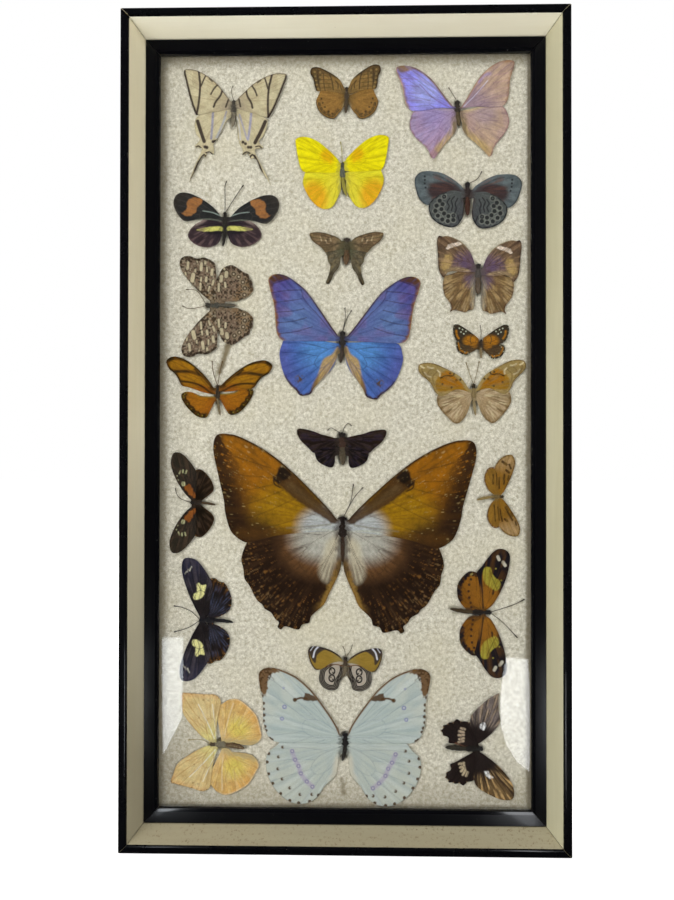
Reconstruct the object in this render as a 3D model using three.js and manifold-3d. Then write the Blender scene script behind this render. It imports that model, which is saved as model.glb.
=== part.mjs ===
// Framed butterfly specimens: a shallow glazed box frame, hung upright on a wall, with
// twenty-three spread butterflies lying on cotton wadding close behind the glass.
// Lengths are millimetres. X runs across the frame, Z is up and the glass faces -Y.
// The origin is where the sawtooth hanger takes the wall nail, in the plane of the rails' backs.
import * as THREE from 'three';
import { mergeVertices } from 'three/addons/utils/BufferGeometryUtils.js';
import Module from 'manifold-3d';

const wasm = await Module();
wasm.setup();

// Frame
const frameWidth = 280;
const frameHeight = 525.5;
const frameDepth = 34.5;
const hangerBelowTop = 8;
const gap = 0.3; // kept between pieces that touch
const mitreGap = 0.22; // along the rail, so 0.31 square to the mitre

// Moulding, as inset from the frame's outer edge and depth behind its frontmost line
const rabbetInset = 8.3;
const rabbetDepth = 14.6;
const railProfile = [
  [0, frameDepth], [0, 2.4], [0.9, 0.8], [2.4, 0.1], [4.2, 0], [5.2, 0.4], [5.6, 1.2],
  [12.2, 13.3], [12.2, rabbetDepth], [rabbetInset, rabbetDepth], [rabbetInset, frameDepth],
];
const slipBack = 18.3;
const slipProfile = [
  [8.6, 14.9], [12.5, 14.9], [12.5, 13.9], [18.6, 15.8], [20.2, 16.4], [20.9, 17.4],
  [20.9, slipBack], [8.6, slipBack],
];

// Sheets in the rabbet, front to back
const sheetInset = 8.8;
const glassFront = slipBack + gap;
const glassThickness = 2;
const wingFront = glassFront + glassThickness + 0.5;
const wingThickness = 0.4;
const waddingFront = wingFront + wingThickness + gap;
const waddingBack = 29.6;
const boardFront = waddingBack + gap;
const boardThickness = 2.5;

// Glazier's points and hanger
const pointSize = { width: 4, length: 10.5, thickness: 0.7, buried: 4.2 };
const hangerSize = { halfLength: 22, height: 7, thickness: 0.8, standOff: 1.2, toothPitch: 5, toothDepth: 1.6 };
const nailSize = { headRadius: 1.7, headHeight: 0.8, shankRadius: 0.7, length: 7, sides: 8 };
const nailReach = 18.5;
const boreClearance = 0.35;

// Each butterfly: where its thorax lies, which way its head points (degrees anticlockwise from
// up), and its outlines in its own axes, [outwards, forwards] from the thorax, for one side.
// The other side is the mirror image, turned by `turn` degrees and shifted, as it was spread.
// A body is [front, back, thorax width, abdomen width, sideways bend at the tail].
const butterflies = [
  {
    name: 'zebra_swallowtail', at: [-72.1, -44.5], heading: 0, colour: 0xcfc7a6, drawn: 'left',
    body: [4.2, -13.6, 4, 3, -0.8],
    forewing: [[1.8, 3.1], [3.5, 5.4], [7.7, 10.7], [12.9, 16.6], [22.8, 23], [28.7, 24.4], [32.3, 23.8],
      [31, 15.5], [26.9, 0.3], [24.5, -5.5]],
    hindwing: [[2.4, -2.2], [23.7, -7], [25.4, -10.8], [24.5, -18.4], [22.1, -21.8], [25.3, -26.5],
      [20.7, -28], [21, -29.4], [24.5, -37], [28.5, -47.4], [30.2, -53.8], [28.8, -49.2], [25.3, -42.2],
      [22.1, -35.3], [19.8, -31.8], [18.6, -33.2], [16.9, -29.4], [13.4, -31.2], [12.8, -27.2],
      [13.4, -24.8], [10.5, -20.2], [4.7, -9.2]],
    otherHindwing: [[1.8, -2.2], [20.3, -8.2], [22, -10.5], [19.2, -19.8], [16.3, -23.9], [19.2, -27.6],
      [13.9, -29], [18.1, -39], [22.1, -46.6], [25, -53.5], [22.1, -47.7], [17.5, -41.3], [13.9, -33.7],
      [11.1, -34], [9.3, -30.2], [5.8, -31.6], [5.8, -27.8], [3.5, -23.8], [2.3, -15.6], [1.7, -6.9]],
    other: { forewing: { turn: -7.6, shift: [-0.8, 0.9] }, hindwing: { turn: 0, shift: [0, 0] } },
    antennae: [[[-1.7, 10.5], [-0.6, 13.4]]],
  },
  {
    name: 'red_banded_longwing', at: [-77.7, -118.1], heading: 0, colour: 0x2a1a16, drawn: 'left',
    body: [5.2, -17.6, 3.6, 2.4, -1.4],
    forewing: [[2.5, 1.8], [6.3, 6.7], [10.7, 10.5], [19.3, 15.7], [23.7, 17.3], [28.6, 17.7], [31.8, 16],
      [33.4, 12.8], [33.4, 9.5], [31.8, 5.2], [26.4, -0.8], [18.8, 0], [14.5, 0.3], [8.5, -0.5], [3.6, -1.2]],
    hindwing: [[1.5, -1.9], [6.3, 0.7], [11.7, 0.7], [15.5, -1.6], [19.9, -4], [23.1, -7.3], [24.2, -10],
      [23.1, -12.7], [20.4, -15.3], [16.1, -17.3], [11.2, -18], [6.9, -17], [4.1, -14.9], [1, -7.4]],
    other: { forewing: { turn: -4, shift: [1, 0] }, hindwing: { turn: 0, shift: [-0.3, 0.2] } },
    antennae: [[[0, 15.6], [0, 22.2], [0.9, 25.1]], [[6.8, 14.9], [11.9, 22.4]]],
  },
  {
    name: 'grey_cracker', at: [-85.1, -173.8], heading: 90, colour: 0x5d5040, drawn: 'right',
    body: [5.4, -15, 4.5, 3, 0],
    forewing: [[2.6, 2.1], [9.6, 10.1], [18.1, 17.6], [22.6, 20.6], [27.1, 22.1], [30.5, 21.1], [32, 18.7],
      [32, 15.1], [30.5, 11.2], [31, 5.7], [27.3, -0.8], [24.5, -1.4], [13.5, -2.1], [7.1, -1.9], [2.6, -1.4]],
    hindwing: [[3.6, -2.9], [9.6, -1.1], [14.5, -1.3], [18, -3.6], [24, -6.3], [26.2, -11.3], [25.2, -14.3],
      [21.4, -19.8], [20, -22.8], [17.4, -23.5], [14.9, -25.3], [12.5, -25.3], [9.9, -25.8], [5.3, -21.8],
      [4, -18.8], [2.6, -15.8], [2.3, -7.9]],
    other: { forewing: { turn: -3.1, shift: [0.5, 0.2] }, hindwing: { turn: -3.1, shift: [0, 0.5] } },
    antennae: [[[9.5, 11.1], [10.5, 18]], [[-1.9, 13], [-1.8, 16.9], [-0.2, 20.2]]],
  },
  {
    name: 'orange_longwing', at: [-82.3, -230], heading: 0, colour: 0xb5740f, drawn: 'left',
    body: [4.8, -15.5, 3.4, 2, 1.9],
    forewing: [[2.3, 2.6], [6, 7.7], [10.1, 12.4], [20, 20.5], [28.9, 23], [33.3, 20.2], [31.4, 15],
      [28.3, 12.4], [26.3, 9.8], [23.1, 4.1], [19, 3.1], [10.1, 0], [2.9, -1.6]],
    hindwing: [[2.3, -3.1], [6, -3.1], [11.1, -2.6], [16.3, -0.5], [21, 0], [23.4, -1.5], [23.6, -3.6],
      [19.4, -10.4], [12.7, -16.1], [7.5, -16.6], [4.9, -12.5], [1.8, -6.2]],
    other: { forewing: { turn: -9, shift: [-0.4, 2] }, hindwing: { turn: 3.3, shift: [-0.5, 1.5] } },
    antennae: [[[-2.9, 13], [-3.6, 20.1]], [[1.3, 12.3], [3.1, 20.1]]],
  },
  {
    name: 'orange_based_longwing', at: [-95.5, -301.7], heading: 90, colour: 0x33231b, drawn: 'right',
    body: [4.6, -12.6, 3.2, 1.8, -1.6],
    forewing: [[1.8, 3.8], [5.6, 7.6], [14.7, 13.5], [26, 17.1], [32.1, 15.2], [32.5, 12], [30.9, 8.7],
      [21.7, 1.2], [19, 0.3], [8.2, 0.5], [2.3, 1.1]],
    hindwing: [[2.9, 1.6], [14.7, 1.9], [20.1, 1.6], [21.7, -1.6], [20.4, -4.2], [14.7, -9.1],
      [8.3, -10.8], [1.3, -3.3]],
    other: { forewing: { turn: 2.6, shift: [0.8, -0.4] }, hindwing: { turn: 0, shift: [0.9, -0.2] } },
    antennae: [[[2.3, 10.3], [5, 13], [9.3, 14.1]]],
  },
  {
    name: 'blue_rayed_longwing', at: [-89.1, -377.7], heading: 90, colour: 0x1f1c26, drawn: 'right',
    body: [5, -17.8, 3.8, 2.2, -1.3],
    forewing: [[2.4, 4.4], [7.8, 7.4], [20.3, 12.9], [33.5, 16.2], [39.8, 14.4], [39.2, 7.5], [33, 1.5],
      [22.2, -4], [11.5, -2.2], [4.3, -1.6], [1.9, 0.2]],
    hindwing: [[2.5, -2.2], [11.5, -1], [19.8, -1.3], [26.4, -1.6], [27, -5.7], [24.9, -8.1], [24.3, -11.2],
      [21.1, -13.6], [13.3, -16.3], [6.7, -14.8], [2.2, -8.2], [1.3, -4.6]],
    other: { forewing: { turn: 1.6, shift: [-0.5, 0.3] }, hindwing: { turn: 5.7, shift: [0.7, -0.1] } },
    antennae: [[[5.4, 9.8], [8.1, 15.9], [9.1, 21.3]], [[-4.5, 11], [-6.3, 15.8], [-7.8, 21.2]]],
  },
  {
    name: 'peach_sulphur', at: [-82.4, -457.7], heading: 90, colour: 0xddb272, drawn: 'right',
    body: [4.6, -18.4, 5, 3.4, -2.6],
    forewing: [[1.8, 4.5], [4.6, 9], [9.5, 14], [20.5, 21.9], [27.3, 22.4], [32.8, 22.2], [32.8, 18],
      [32.1, 6.8], [32.1, 1.8], [30.7, -1], [28, -2.7], [23.5, -2.2], [12.4, 0], [5.2, 0]],
    hindwing: [[2.4, -4.5], [13.6, -2.2], [23, -0.3], [26.3, -4.4], [28.8, -8.3], [29.4, -12.2], [28, -16.1],
      [22, -22.9], [18.1, -26], [8.8, -28.6], [4.9, -29.1], [1.5, -26.8], [-0.5, -22.3], [0.1, -15.6], [1.4, -10]],
    other: { forewing: { turn: 17.9, shift: [0.2, -1.7] }, hindwing: { turn: 16.3, shift: [0.8, -0.8] } },
    antennae: [[[2.9, 10.1], [2.6, 18.4]]],
  },
  {
    name: 'small_fritillary', at: [1.2, -35.9], heading: 0, colour: 0x9c6f2c, drawn: 'left',
    body: [3.6, -13.8, 3.2, 2.4, -0.6],
    forewing: [[1.4, 2.4], [3.9, 7.4], [6.7, 10.2], [14.2, 14.8], [18.1, 16.4], [20.9, 16.6],
      [22.8, 15.9], [23.6, 13.9], [23.2, 11.5], [21.8, 9.2], [20.6, 3.6], [19.6, 1.2], [18.4, 0.8], [16.1, 1.2],
      [8, 0.2], [1.2, -1.4]],
    hindwing: [[0.8, -2.9], [16.1, 2.2], [17.7, -0.8], [19.9, -5.9], [18, -11.8], [14.1, -15.4], [8.2, -17],
      [5.4, -13.9], [3.9, -12.3], [0.6, -6.8]],
    other: { forewing: { turn: 4.8, shift: [-0.3, -0.3] }, hindwing: { turn: 0.7, shift: [0.4, -0.3] } },
    antennae: [],
  },
  {
    name: 'yellow_sulphur', at: [-1.5, -86.7], heading: 0, colour: 0xe1d200, drawn: 'left',
    body: [5.6, -16.8, 4.2, 2.4, 2.7],
    forewing: [[1.6, 5.1], [4, 8.5], [11.6, 15.7], [16.4, 19.3], [21.2, 21.5], [25.9, 22.2], [29, 21.5],
      [30.5, 20.1], [30.2, 16.3], [27.3, 2.4], [25.4, -0.4], [21.1, -0.7], [8.3, -1.3], [2.6, -1.1]],
    hindwing: [[1.6, -2.5], [22.6, 0.6], [25, -3.8], [25.7, -7.6], [24.4, -11.9], [19.7, -19.6], [13, -24.6],
      [7.3, -23.9], [2.6, -16.8], [0.9, -12], [1.2, -6.3]],
    other: { forewing: { turn: 0.6, shift: [-0.3, 0.6] }, hindwing: { turn: 4.1, shift: [0.7, -0.2] } },
    antennae: [[[-0.5, 13.2], [-1.2, 18.7]]],
  },
  {
    name: 'violet_morpho', at: [72.8, -46.9], heading: 0, colour: 0x7b72e8, drawn: 'left',
    body: [5.4, -11.7, 4.4, 2.8, 1.3],
    forewing: [[2.8, 1.3], [6.6, 5.9], [15.8, 18.1], [21, 22.8], [26.7, 26.3], [32, 27.9], [36.6, 27.9],
      [39.5, 26.8], [39.7, 24.7], [36, 15.4], [33.7, 4.3], [32, 0.9], [29.1, -1.2], [23.3, -1.3], [11.7, 0.4],
      [3.7, 0.1]],
    hindwing: [[2.5, -1.7], [9.5, -1], [17.6, 0.4], [24.5, -0.1], [29.1, -3.2], [30.8, -10.8], [29.6, -14.8],
      [26.1, -19.5], [22.1, -23], [18.6, -27.1], [17, -31.1], [15.2, -32.3], [12.9, -29.4], [9.5, -24.8],
      [0.8, -13.9], [0.3, -8]],
    other: { forewing: { turn: 5.9, shift: [-0.3, -0.5] }, hindwing: { turn: 7.6, shift: [1.3, -1.2] } },
    antennae: [[[-3.7, 10.5], [-5.7, 13.7]]],
  },
  {
    name: 'spotted_slate', at: [79.3, -101.4], heading: 0, colour: 0x4f5e66, drawn: 'left',
    body: [7.2, -15.2, 4.6, 3.4, 0],
    forewing: [[2.3, 2.3], [4.9, 5.4], [14.1, 11.7], [19.3, 13.5], [29.6, 13.7], [33.9, 9.7], [32.6, -0.2],
      [30.6, -4.3], [28, -6.9], [25.5, -7.9]],
    hindwing: [[4.9, 0.7], [9, 1.5], [13.1, 0.8], [20.8, -2.8], [25, -7.9], [23.4, -15.7], [16.7, -20.9],
      [8, -22], [2.8, -15.3], [2.8, -3.4]],
    other: { forewing: { turn: -4.5, shift: [0.3, -0.3] }, hindwing: { turn: -4.3, shift: [1.2, -0.2] } },
    antennae: [[[6.4, 9], [9.2, 13.8]]],
  },
  {
    name: 'tailed_skipper', at: [1.4, -135.4], heading: 0, colour: 0x6b5a3f, drawn: 'left',
    body: [5.2, -12.6, 5.6, 4.2, -0.7],
    forewing: [[3.3, 3.1], [5.6, 5.1], [9.6, 6.9], [18.6, 8.9], [24.1, 7.8], [22.2, 3.2], [17.4, -0.4],
      [15.5, -2.3], [13.9, -4.3]],
    hindwing: [[3.3, -2.8], [13.9, -2.9], [12.7, -6.7], [12.1, -10.2], [10.7, -12.6], [11.9, -19.2],
      [13.5, -24], [11.9, -24.7], [8, -17.7], [5.6, -14.6], [4.5, -11.8], [3.7, -6.7]],
    other: { forewing: { turn: 0.6, shift: [-0.4, -0.2] }, hindwing: { turn: -2.9, shift: [-0.9, -0.1] } },
    antennae: [],
  },
  {
    name: 'blue_morpho', at: [-1.3, -197], heading: 0, colour: 0x3b4fa8, drawn: 'left',
    body: [6.6, -14.6, 5.2, 3, -1.3],
    forewing: [[2.5, 2.9], [6.7, 8.5], [12.4, 16.9], [23, 31.8], [29.3, 37.4], [35.6, 41.7], [41.3, 43.4],
      [45.8, 42.7], [48, 40.3], [47.6, 36.1], [44.4, 23.4], [43, 8.6], [41.9, 3.6], [39.5, 0.8], [33.4, -0.2]],
    hindwing: [[2.9, -4.1], [36.3, 1.3], [39.8, -4.1], [40.8, -9], [37.6, -22.4], [34.1, -28], [29.9, -32.2],
      [27.4, -35.3], [20.7, -34.3], [18.7, -30.8], [13.8, -25.2], [8.1, -19.6], [4.6, -14], [2.9, -8.4]],
    other: { forewing: { turn: -2.9, shift: [0.3, 0.2] }, hindwing: { turn: -8.3, shift: [-0.2, 1] } },
    antennae: [[[1.7, 14.8], [1.5, 21.5]], [[3, 14.9], [5.9, 19.8]]],
  },
  {
    name: 'purple_leafwing', at: [86.1, -151.9], heading: 0, colour: 0x5a463a, drawn: 'left',
    body: [4.6, -15.5, 5, 3.8, 0],
    forewing: [[1.9, 3.8], [5.3, 12.4], [11.4, 19], [19.6, 22.5], [23.1, 22.3], [25.2, 22.7], [26.3, 20.7],
      [26, 11.2], [25.2, 0.4], [22, -4.4], [20, -1.4], [16.5, -0.3], [9.7, -0.9], [3.6, -1]],
    hindwing: [[3.6, 0.5], [9.7, 0.1], [14.4, -1.8], [18.7, -3.1], [21.3, -3.7], [22.6, -7.9], [21.7, -15.2],
      [17.8, -21.3], [17.2, -23.9], [18.1, -26.5], [15.7, -25.2], [8.4, -26.7], [5.8, -25.5], [3.2, -24.8],
      [1.9, -20], [1.9, -7]],
    other: { forewing: { turn: -2.5, shift: [0.6, -2.1] }, hindwing: { turn: -1.8, shift: [0.6, -0.8] } },
    antennae: [],
  },
  {
    name: 'checkered_crescent', at: [87.9, -199.1], heading: 0, colour: 0xa8651b, drawn: 'left',
    body: [3, -9.4, 2.6, 1.9, 0],
    forewing: [[1.3, 1.6], [1.6, 3.2], [4.9, 6.2], [12.8, 11.6], [15.4, 12.7], [17.4, 12.2], [17.9, 7.6],
      [15.8, 2], [11.1, -0.4], [6.2, -1], [2.3, -0.7]],
    hindwing: [[1.6, -1.7], [6.2, 0.6], [11.1, 1.9], [14.4, 2.6], [15.8, 1.9], [15.1, -4], [11.5, -7],
      [9.5, -7.5], [7.5, -6.3], [3, -3.7]],
    other: { forewing: { turn: -1.6, shift: [-0.3, 0.2] }, hindwing: { turn: -15.4, shift: [-0.1, 0.1] } },
    antennae: [[[0, 8.8], [-0.6, 12.1]]],
  },
  {
    name: 'silver_spotted_fritillary', at: [83.2, -229.4], heading: 0, colour: 0xb5a27c, drawn: 'left',
    body: [5, -16.2, 3.6, 2.2, 1.3],
    forewing: [[3.1, 1.2], [8.7, 9], [17.4, 14.1], [27.2, 18], [34.9, 17], [35.4, 12.6], [27.7, 4.9],
      [24.6, -0.8], [21.5, -3.3], [17.4, -2.3], [12.3, 0.7], [7.2, 0.6], [2.2, -1.2]],
    hindwing: [[2.6, -2.3], [7.7, 1.8], [13.8, 1.8], [22.6, -2.2], [23.6, -6.4], [22.8, -9.5], [17.4, -16.3],
      [11.3, -21.1], [7.7, -19.4], [4.6, -15.2], [1.5, -6.5]],
    other: { forewing: { turn: 3.5, shift: [-1.3, 0.1] }, hindwing: { turn: 2.9, shift: [0.2, -0.2] } },
    antennae: [[[-2.6, 11], [-4.9, 18.5]], [[2.1, 12.1], [3.6, 19]]],
  },
  {
    name: 'dark_skipper', at: [-1.5, -263], heading: 0, colour: 0x2e2226, drawn: 'left',
    body: [7, -14.6, 6.4, 4.6, 0.6],
    forewing: [[4.7, 3.2], [9.1, 4.5], [13.9, 5.7], [19, 7.7], [23.8, 8.8], [27.7, 9.2], [29.2, 8.1],
      [27.3, 2.3], [22.1, -2.9], [18.2, -6.4], [13.8, -3.8], [7.3, -2.5]],
    hindwing: [[3.9, -3.8], [6.5, -1], [11.6, -2.3], [17.3, -4.9], [17.1, -9.4], [15.1, -12.4], [8.2, -15.8],
      [6, -15.5], [4.9, -12.9], [4.5, -8.5]],
    other: { forewing: { turn: -2.9, shift: [-0.9, 0.8] }, hindwing: { turn: -2.7, shift: [-0.1, 0.1] } },
    antennae: [[[-5.6, 9.1], [-7.3, 9.7], [-9.5, 8.1]], [[1.7, 10.5], [3.9, 12.7], [6.1, 11]]],
  },
  {
    name: 'sunset_morpho', at: [-1.1, -318.6], heading: 0, colour: 0xa8700f, drawn: 'left',
    body: [8.4, -21.4, 6.8, 3, 0],
    forewing: [[3.6, 6.1], [8.4, 12.2], [23.1, 27.7], [34.7, 38.8], [46.2, 48.1], [60.5, 56.7], [72, 61.1],
      [81.4, 60.7], [83.9, 53.8], [80.5, 34.3], [76.9, 18.3], [76, 10.3], [72.4, -1.2], [68.4, -5.6],
      [63, -8.7], [59.4, -8.5], [44.3, -4.7], [20.7, -2], [4.6, -1.3]],
    hindwing: [[4.4, 1.1], [20.7, 0.6], [33.7, -0.4], [53.1, -4.4], [59.4, -5.9], [65.5, -19], [64.1, -26.1],
      [63.4, -32.3], [60.3, -36.6], [55.4, -45.9], [51.8, -49], [50.5, -51.3], [46, -54.3], [43.8, -57.8],
      [41.1, -60.5], [42, -63.2], [39.8, -64.9], [37.6, -62.9], [28.3, -64.8], [26, -61.7], [21.6, -60.3],
      [20.3, -56.4], [11.9, -48.4], [8.8, -41.8], [1.7, -26.7], [0.4, -17.8], [0.9, -9]],
    other: { forewing: { turn: -2.9, shift: [-0.4, -0.2] }, hindwing: { turn: -2.5, shift: [0.6, -0.6] } },
    antennae: [[[5.1, 17.6], [6.9, 29.1]], [[7.7, 20.7], [13.1, 26.9]]],
  },
  {
    name: 'tan_longwing', at: [99, -297.5], heading: -90, colour: 0x9f8450, drawn: 'left',
    body: [3.6, -14.2, 2.8, 2, 2.2],
    forewing: [[0.9, 1.5], [3.4, 3.6], [16.9, 9.7], [22.7, 10.7], [26.6, 8.9], [27, 6.9], [25.6, 2.8],
      [21.8, -1], [17.8, -2.4], [15.7, -1.3], [10.7, -0.5], [4.6, -0.3], [1.4, -0.1]],
    hindwing: [[0.9, -1.3], [2.1, -0.3], [8.7, 1], [14.9, 0.1], [17.8, -0.9], [19, -3.8], [18.8, -5.8],
      [17.1, -7.5], [12, -9.1], [9.1, -8.7], [4.2, -6.2], [0.7, -2.2]],
    other: { forewing: { turn: 8.9, shift: [-0.1, -0.2] }, hindwing: { turn: 11.2, shift: [0.6, -0.4] } },
    antennae: [],
  },
  {
    name: 'tiger_longwing', at: [88.7, -371.8], heading: -90, colour: 0x9c5c10, drawn: 'left',
    body: [6, -21.2, 4.2, 2.8, -2.2],
    forewing: [[1.3, 1.9], [4, 5.7], [12.6, 11.3], [22.7, 15.5], [28.7, 17], [37.6, 17.3], [40.6, 13.7],
      [40.3, 9], [35.8, 4.2], [29.8, -0.2], [25.6, -3.5], [22.7, -2.9], [16.8, -2], [9.6, -1.4], [2.5, -0.8]],
    hindwing: [[1, -1.1], [2.5, 0.9], [22.7, -1.1], [25, -2.9], [26.2, -8.2], [20.8, -14.2], [16.7, -16],
      [9.6, -15.7], [6, -13.9], [1, -8.9], [0.8, -2.9]],
    other: { forewing: { turn: -4.2, shift: [0.5, 0.3] }, hindwing: { turn: 3.3, shift: [1.2, 0.8] } },
    antennae: [[[-2.8, 13.7], [-5, 20.2], [-8.5, 27]], [[5.8, 12.5], [10.5, 17.2], [16.1, 22.3]]],
  },
  {
    name: 'eighty_eight', at: [0.8, -404.6], heading: 0, colour: 0xa67c24, drawn: 'left',
    body: [4, -9.3, 3.2, 2.2, -1.1],
    forewing: [[1.5, 1.4], [3.4, 4], [8.2, 7.3], [14.1, 9.5], [21.9, 10.4], [24, 8], [23.6, 3.1],
      [21.7, -1.7], [18.9, -4.8], [14.1, -3.4], [11.5, -1.6], [8.2, -0.1], [4.5, 0.7]],
    hindwing: [[1.5, -0.8], [3.7, 1.3], [6.7, 1.3], [12.3, -1.3], [15.5, -3.9], [16.7, -7.2], [16.7, -12.3],
      [13.7, -16.4], [8.9, -17.8], [5.2, -16.7], [3.7, -12.6], [1.1, -8.2], [0.2, -4.4], [0.4, -1.5]],
    other: { forewing: { turn: -0.3, shift: [-0.4, -1] }, hindwing: { turn: -2.5, shift: [0.4, -0.2] } },
    antennae: [[[-0.6, 8.1], [-1.7, 10.3]], [[3.7, 8.8], [4.4, 11.6]]],
  },
  {
    name: 'pearl_morpho', at: [0.7, -456.4], heading: 0, colour: 0xabc0c4, drawn: 'left',
    body: [6.8, -11.4, 5.6, 3, -1.9],
    forewing: [[3, 4.9], [5.9, 11.5], [14.2, 24], [23, 35], [34.2, 43.8], [49.8, 48.4], [55.4, 45.2],
      [55.2, 37.1], [53.2, 26.7], [52.6, 11.9], [47.5, 1.9], [35.6, 0.2], [24.5, 0.1], [13.3, -0.2], [4.4, -0.3]],
    hindwing: [[3.7, -1.8], [13.3, 1.3], [28.2, 1.9], [40, 1.8], [43.8, -2.1], [50, -7.3], [51, -15.5],
      [48.2, -25], [42.2, -33.1], [34.8, -38.2], [25.9, -38.9], [18.5, -35.1], [13.3, -27.7], [6.3, -20.6],
      [5.2, -15.1], [3.7, -8.4]],
    other: { forewing: { turn: -0.8, shift: [-1.8, 0.4] }, hindwing: { turn: -3.7, shift: [-1.4, 0.7] } },
    antennae: [],
  },
  {
    name: 'cattleheart', at: [84.5, -459.2], heading: -90, colour: 0x241b18, drawn: 'right',
    body: [5, -19.8, 4.2, 3.4, -0.7],
    forewing: [[1.7, 2], [3.9, 5.5], [9.9, 13.3], [16.7, 19.7], [24.1, 23.9], [31.4, 23.8], [32.7, 18.2],
      [28.1, 6.5], [23.3, 0.1], [18.9, -1.3], [14, -0.9], [6.7, -0.4]],
    hindwing: [[2.3, -1.9], [4.2, -5.3], [8.7, -13.1], [10.2, -16.6], [12.7, -15.8], [14.2, -16.6], [15.4, -19],
      [17.1, -18.8], [18.8, -19.7], [19.6, -18.1], [21.7, -17.3], [21.7, -15.1], [22.7, -13.1], [22.2, -10.7],
      [23.6, -8], [21.4, -5.8], [20.9, -3.3], [18.9, 0], [16.5, 0.4], [9.1, 0.7]],
    otherForewing: [[3.2, 1.5], [5.2, 4.5], [10.3, 10.4], [16, 14.8], [18, 15.6], [22.9, 14.8], [32.7, 14.5],
      [35.6, 14.8], [34.9, 12.8], [31.2, 7], [22.5, -1.9], [20.3, -3.3], [15.4, -3.8], [10, -2.4], [5.6, -1.3]],
    other: { forewing: { turn: 0, shift: [0, 0] }, hindwing: { turn: -13.8, shift: [-2.2, 1.1] } },
    antennae: [],
  },
];
const rootWidth = 4.5; // the most a wing takes up along the body
const wideWing = 60; // a wing that reaches further than this gets a point between its outline's points
const bodySides = 6;
const bodyDepthShare = 0.75; // depth of a body, dried and pressed, to its width
const pocketClearance = 0.8;
const bodyProud = 0.2; // how far a body stands in front of the wings
const antennaHalfWidth = 0.25;

// Finishes
function finish(color, roughness, metalness = 0) {
  return new THREE.MeshStandardMaterial({ color, roughness, metalness });
}
const blackLacquer = finish(0x1b1c20, 0.35);
const creamPaint = finish(0xcfc29c, 0.55);
const clearGlass = new THREE.MeshStandardMaterial({
  color: 0xf2f6f6, roughness: 0.02, metalness: 0, transparent: true, opacity: 0.2,
});
const cottonWhite = finish(0xd5d0bc, 0.95);
const hardboardBrown = finish(0x6e5136, 0.85);
const zincSteel = finish(0xa9aaa6, 0.4, 0.9);

// A closed geometry as a solid: corners merged, slivers at poles dropped, faces turned outwards
function toSolid(source) {
  const bare = source.clone();
  bare.deleteAttribute('normal');
  bare.deleteAttribute('uv');
  const merged = mergeVertices(bare, 1e-4);
  const points = merged.attributes.position.array;
  const corners = [];
  let volume = 0;
  const a = new THREE.Vector3();
  const b = new THREE.Vector3();
  const c = new THREE.Vector3();
  for (let i = 0; i < merged.index.count; i += 3) {
    const [p, q, r] = [0, 1, 2].map((k) => merged.index.getX(i + k));
    if (p === q || q === r || r === p) continue;
    a.fromArray(points, p * 3);
    b.fromArray(points, q * 3);
    c.fromArray(points, r * 3);
    volume += a.dot(b.cross(c));
    corners.push([p, q, r]);
  }
  if (volume < 0) corners.forEach((corner) => corner.reverse());
  return new wasm.Manifold(new wasm.Mesh({
    numProp: 3,
    vertProperties: new Float32Array(points),
    triVerts: new Uint32Array(corners.flat()),
  }));
}

function toGeometry(solid) {
  const mesh = solid.getMesh();
  const geometry = new THREE.BufferGeometry();
  geometry.setAttribute('position', new THREE.BufferAttribute(new Float32Array(mesh.vertProperties), 3));
  geometry.setIndex(new THREE.BufferAttribute(new Uint32Array(mesh.triVerts), 1));
  geometry.computeVertexNormals();
  return geometry;
}

function joined(solids) {
  return solids.reduce((whole, piece) => whole.add(piece));
}

function named(name, geometry, material) {
  const mesh = new THREE.Mesh(geometry, material);
  mesh.name = name;
  return mesh;
}

// A box between two corners
function boxBetween(low, high) {
  const size = high.map((value, i) => value - low[i]);
  const centre = high.map((value, i) => (value + low[i]) / 2);
  return new THREE.BoxGeometry(...size).translate(...centre);
}

const frameTop = hangerBelowTop;
const frameBottom = frameTop - frameHeight;
const frameMiddle = (frameTop + frameBottom) / 2;
const framed = new THREE.Group();

// The four sides share a moulding. In its own axes a rail runs along X, its depth along Y and its
// inset along Z. A quarter turn about Y takes it from one side of the frame to the next.
const sides = [
  { side: 'bottom', length: frameWidth, turn: 0, x: 0, z: frameBottom },
  { side: 'left', length: frameHeight, turn: Math.PI / 2, x: -frameWidth / 2, z: frameMiddle },
  { side: 'top', length: frameWidth, turn: Math.PI, x: 0, z: frameTop },
  { side: 'right', length: frameHeight, turn: -Math.PI / 2, x: frameWidth / 2, z: frameMiddle },
];

function mitredRail(profile, length) {
  const section = new THREE.Shape(profile.map(([inset, depth]) => new THREE.Vector2(inset, depth)));
  const geometry = new THREE.ExtrudeGeometry(section, { depth: length, bevelEnabled: false });
  const position = geometry.attributes.position;
  for (let i = 0; i < position.count; i += 1) {
    const inset = position.getX(i);
    const fromEnd = inset + mitreGap;
    const along = position.getZ(i) > 0 ? length - fromEnd : fromEnd;
    position.setXYZ(i, along - length / 2, position.getY(i), inset);
  }
  return toSolid(geometry);
}

function onSide(mesh, { turn, x, z }) {
  mesh.rotation.y = turn;
  mesh.position.set(x, -frameDepth, z);
  return mesh;
}

// Glazier's points: three hold each long edge of the backing board and one each short edge
const pointPlaces = { bottom: [0], top: [0], left: [-150, 0, 150], right: [-150, 0, 150] };
const pointDepth = boardFront + boardThickness + gap;

function pointBox(along, clearance) {
  return boxBetween(
    [along - pointSize.width / 2 - clearance, pointDepth - clearance, rabbetInset - pointSize.buried - clearance],
    [along + pointSize.width / 2 + clearance, pointDepth + pointSize.thickness + clearance,
      rabbetInset - pointSize.buried + pointSize.length],
  );
}

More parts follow.
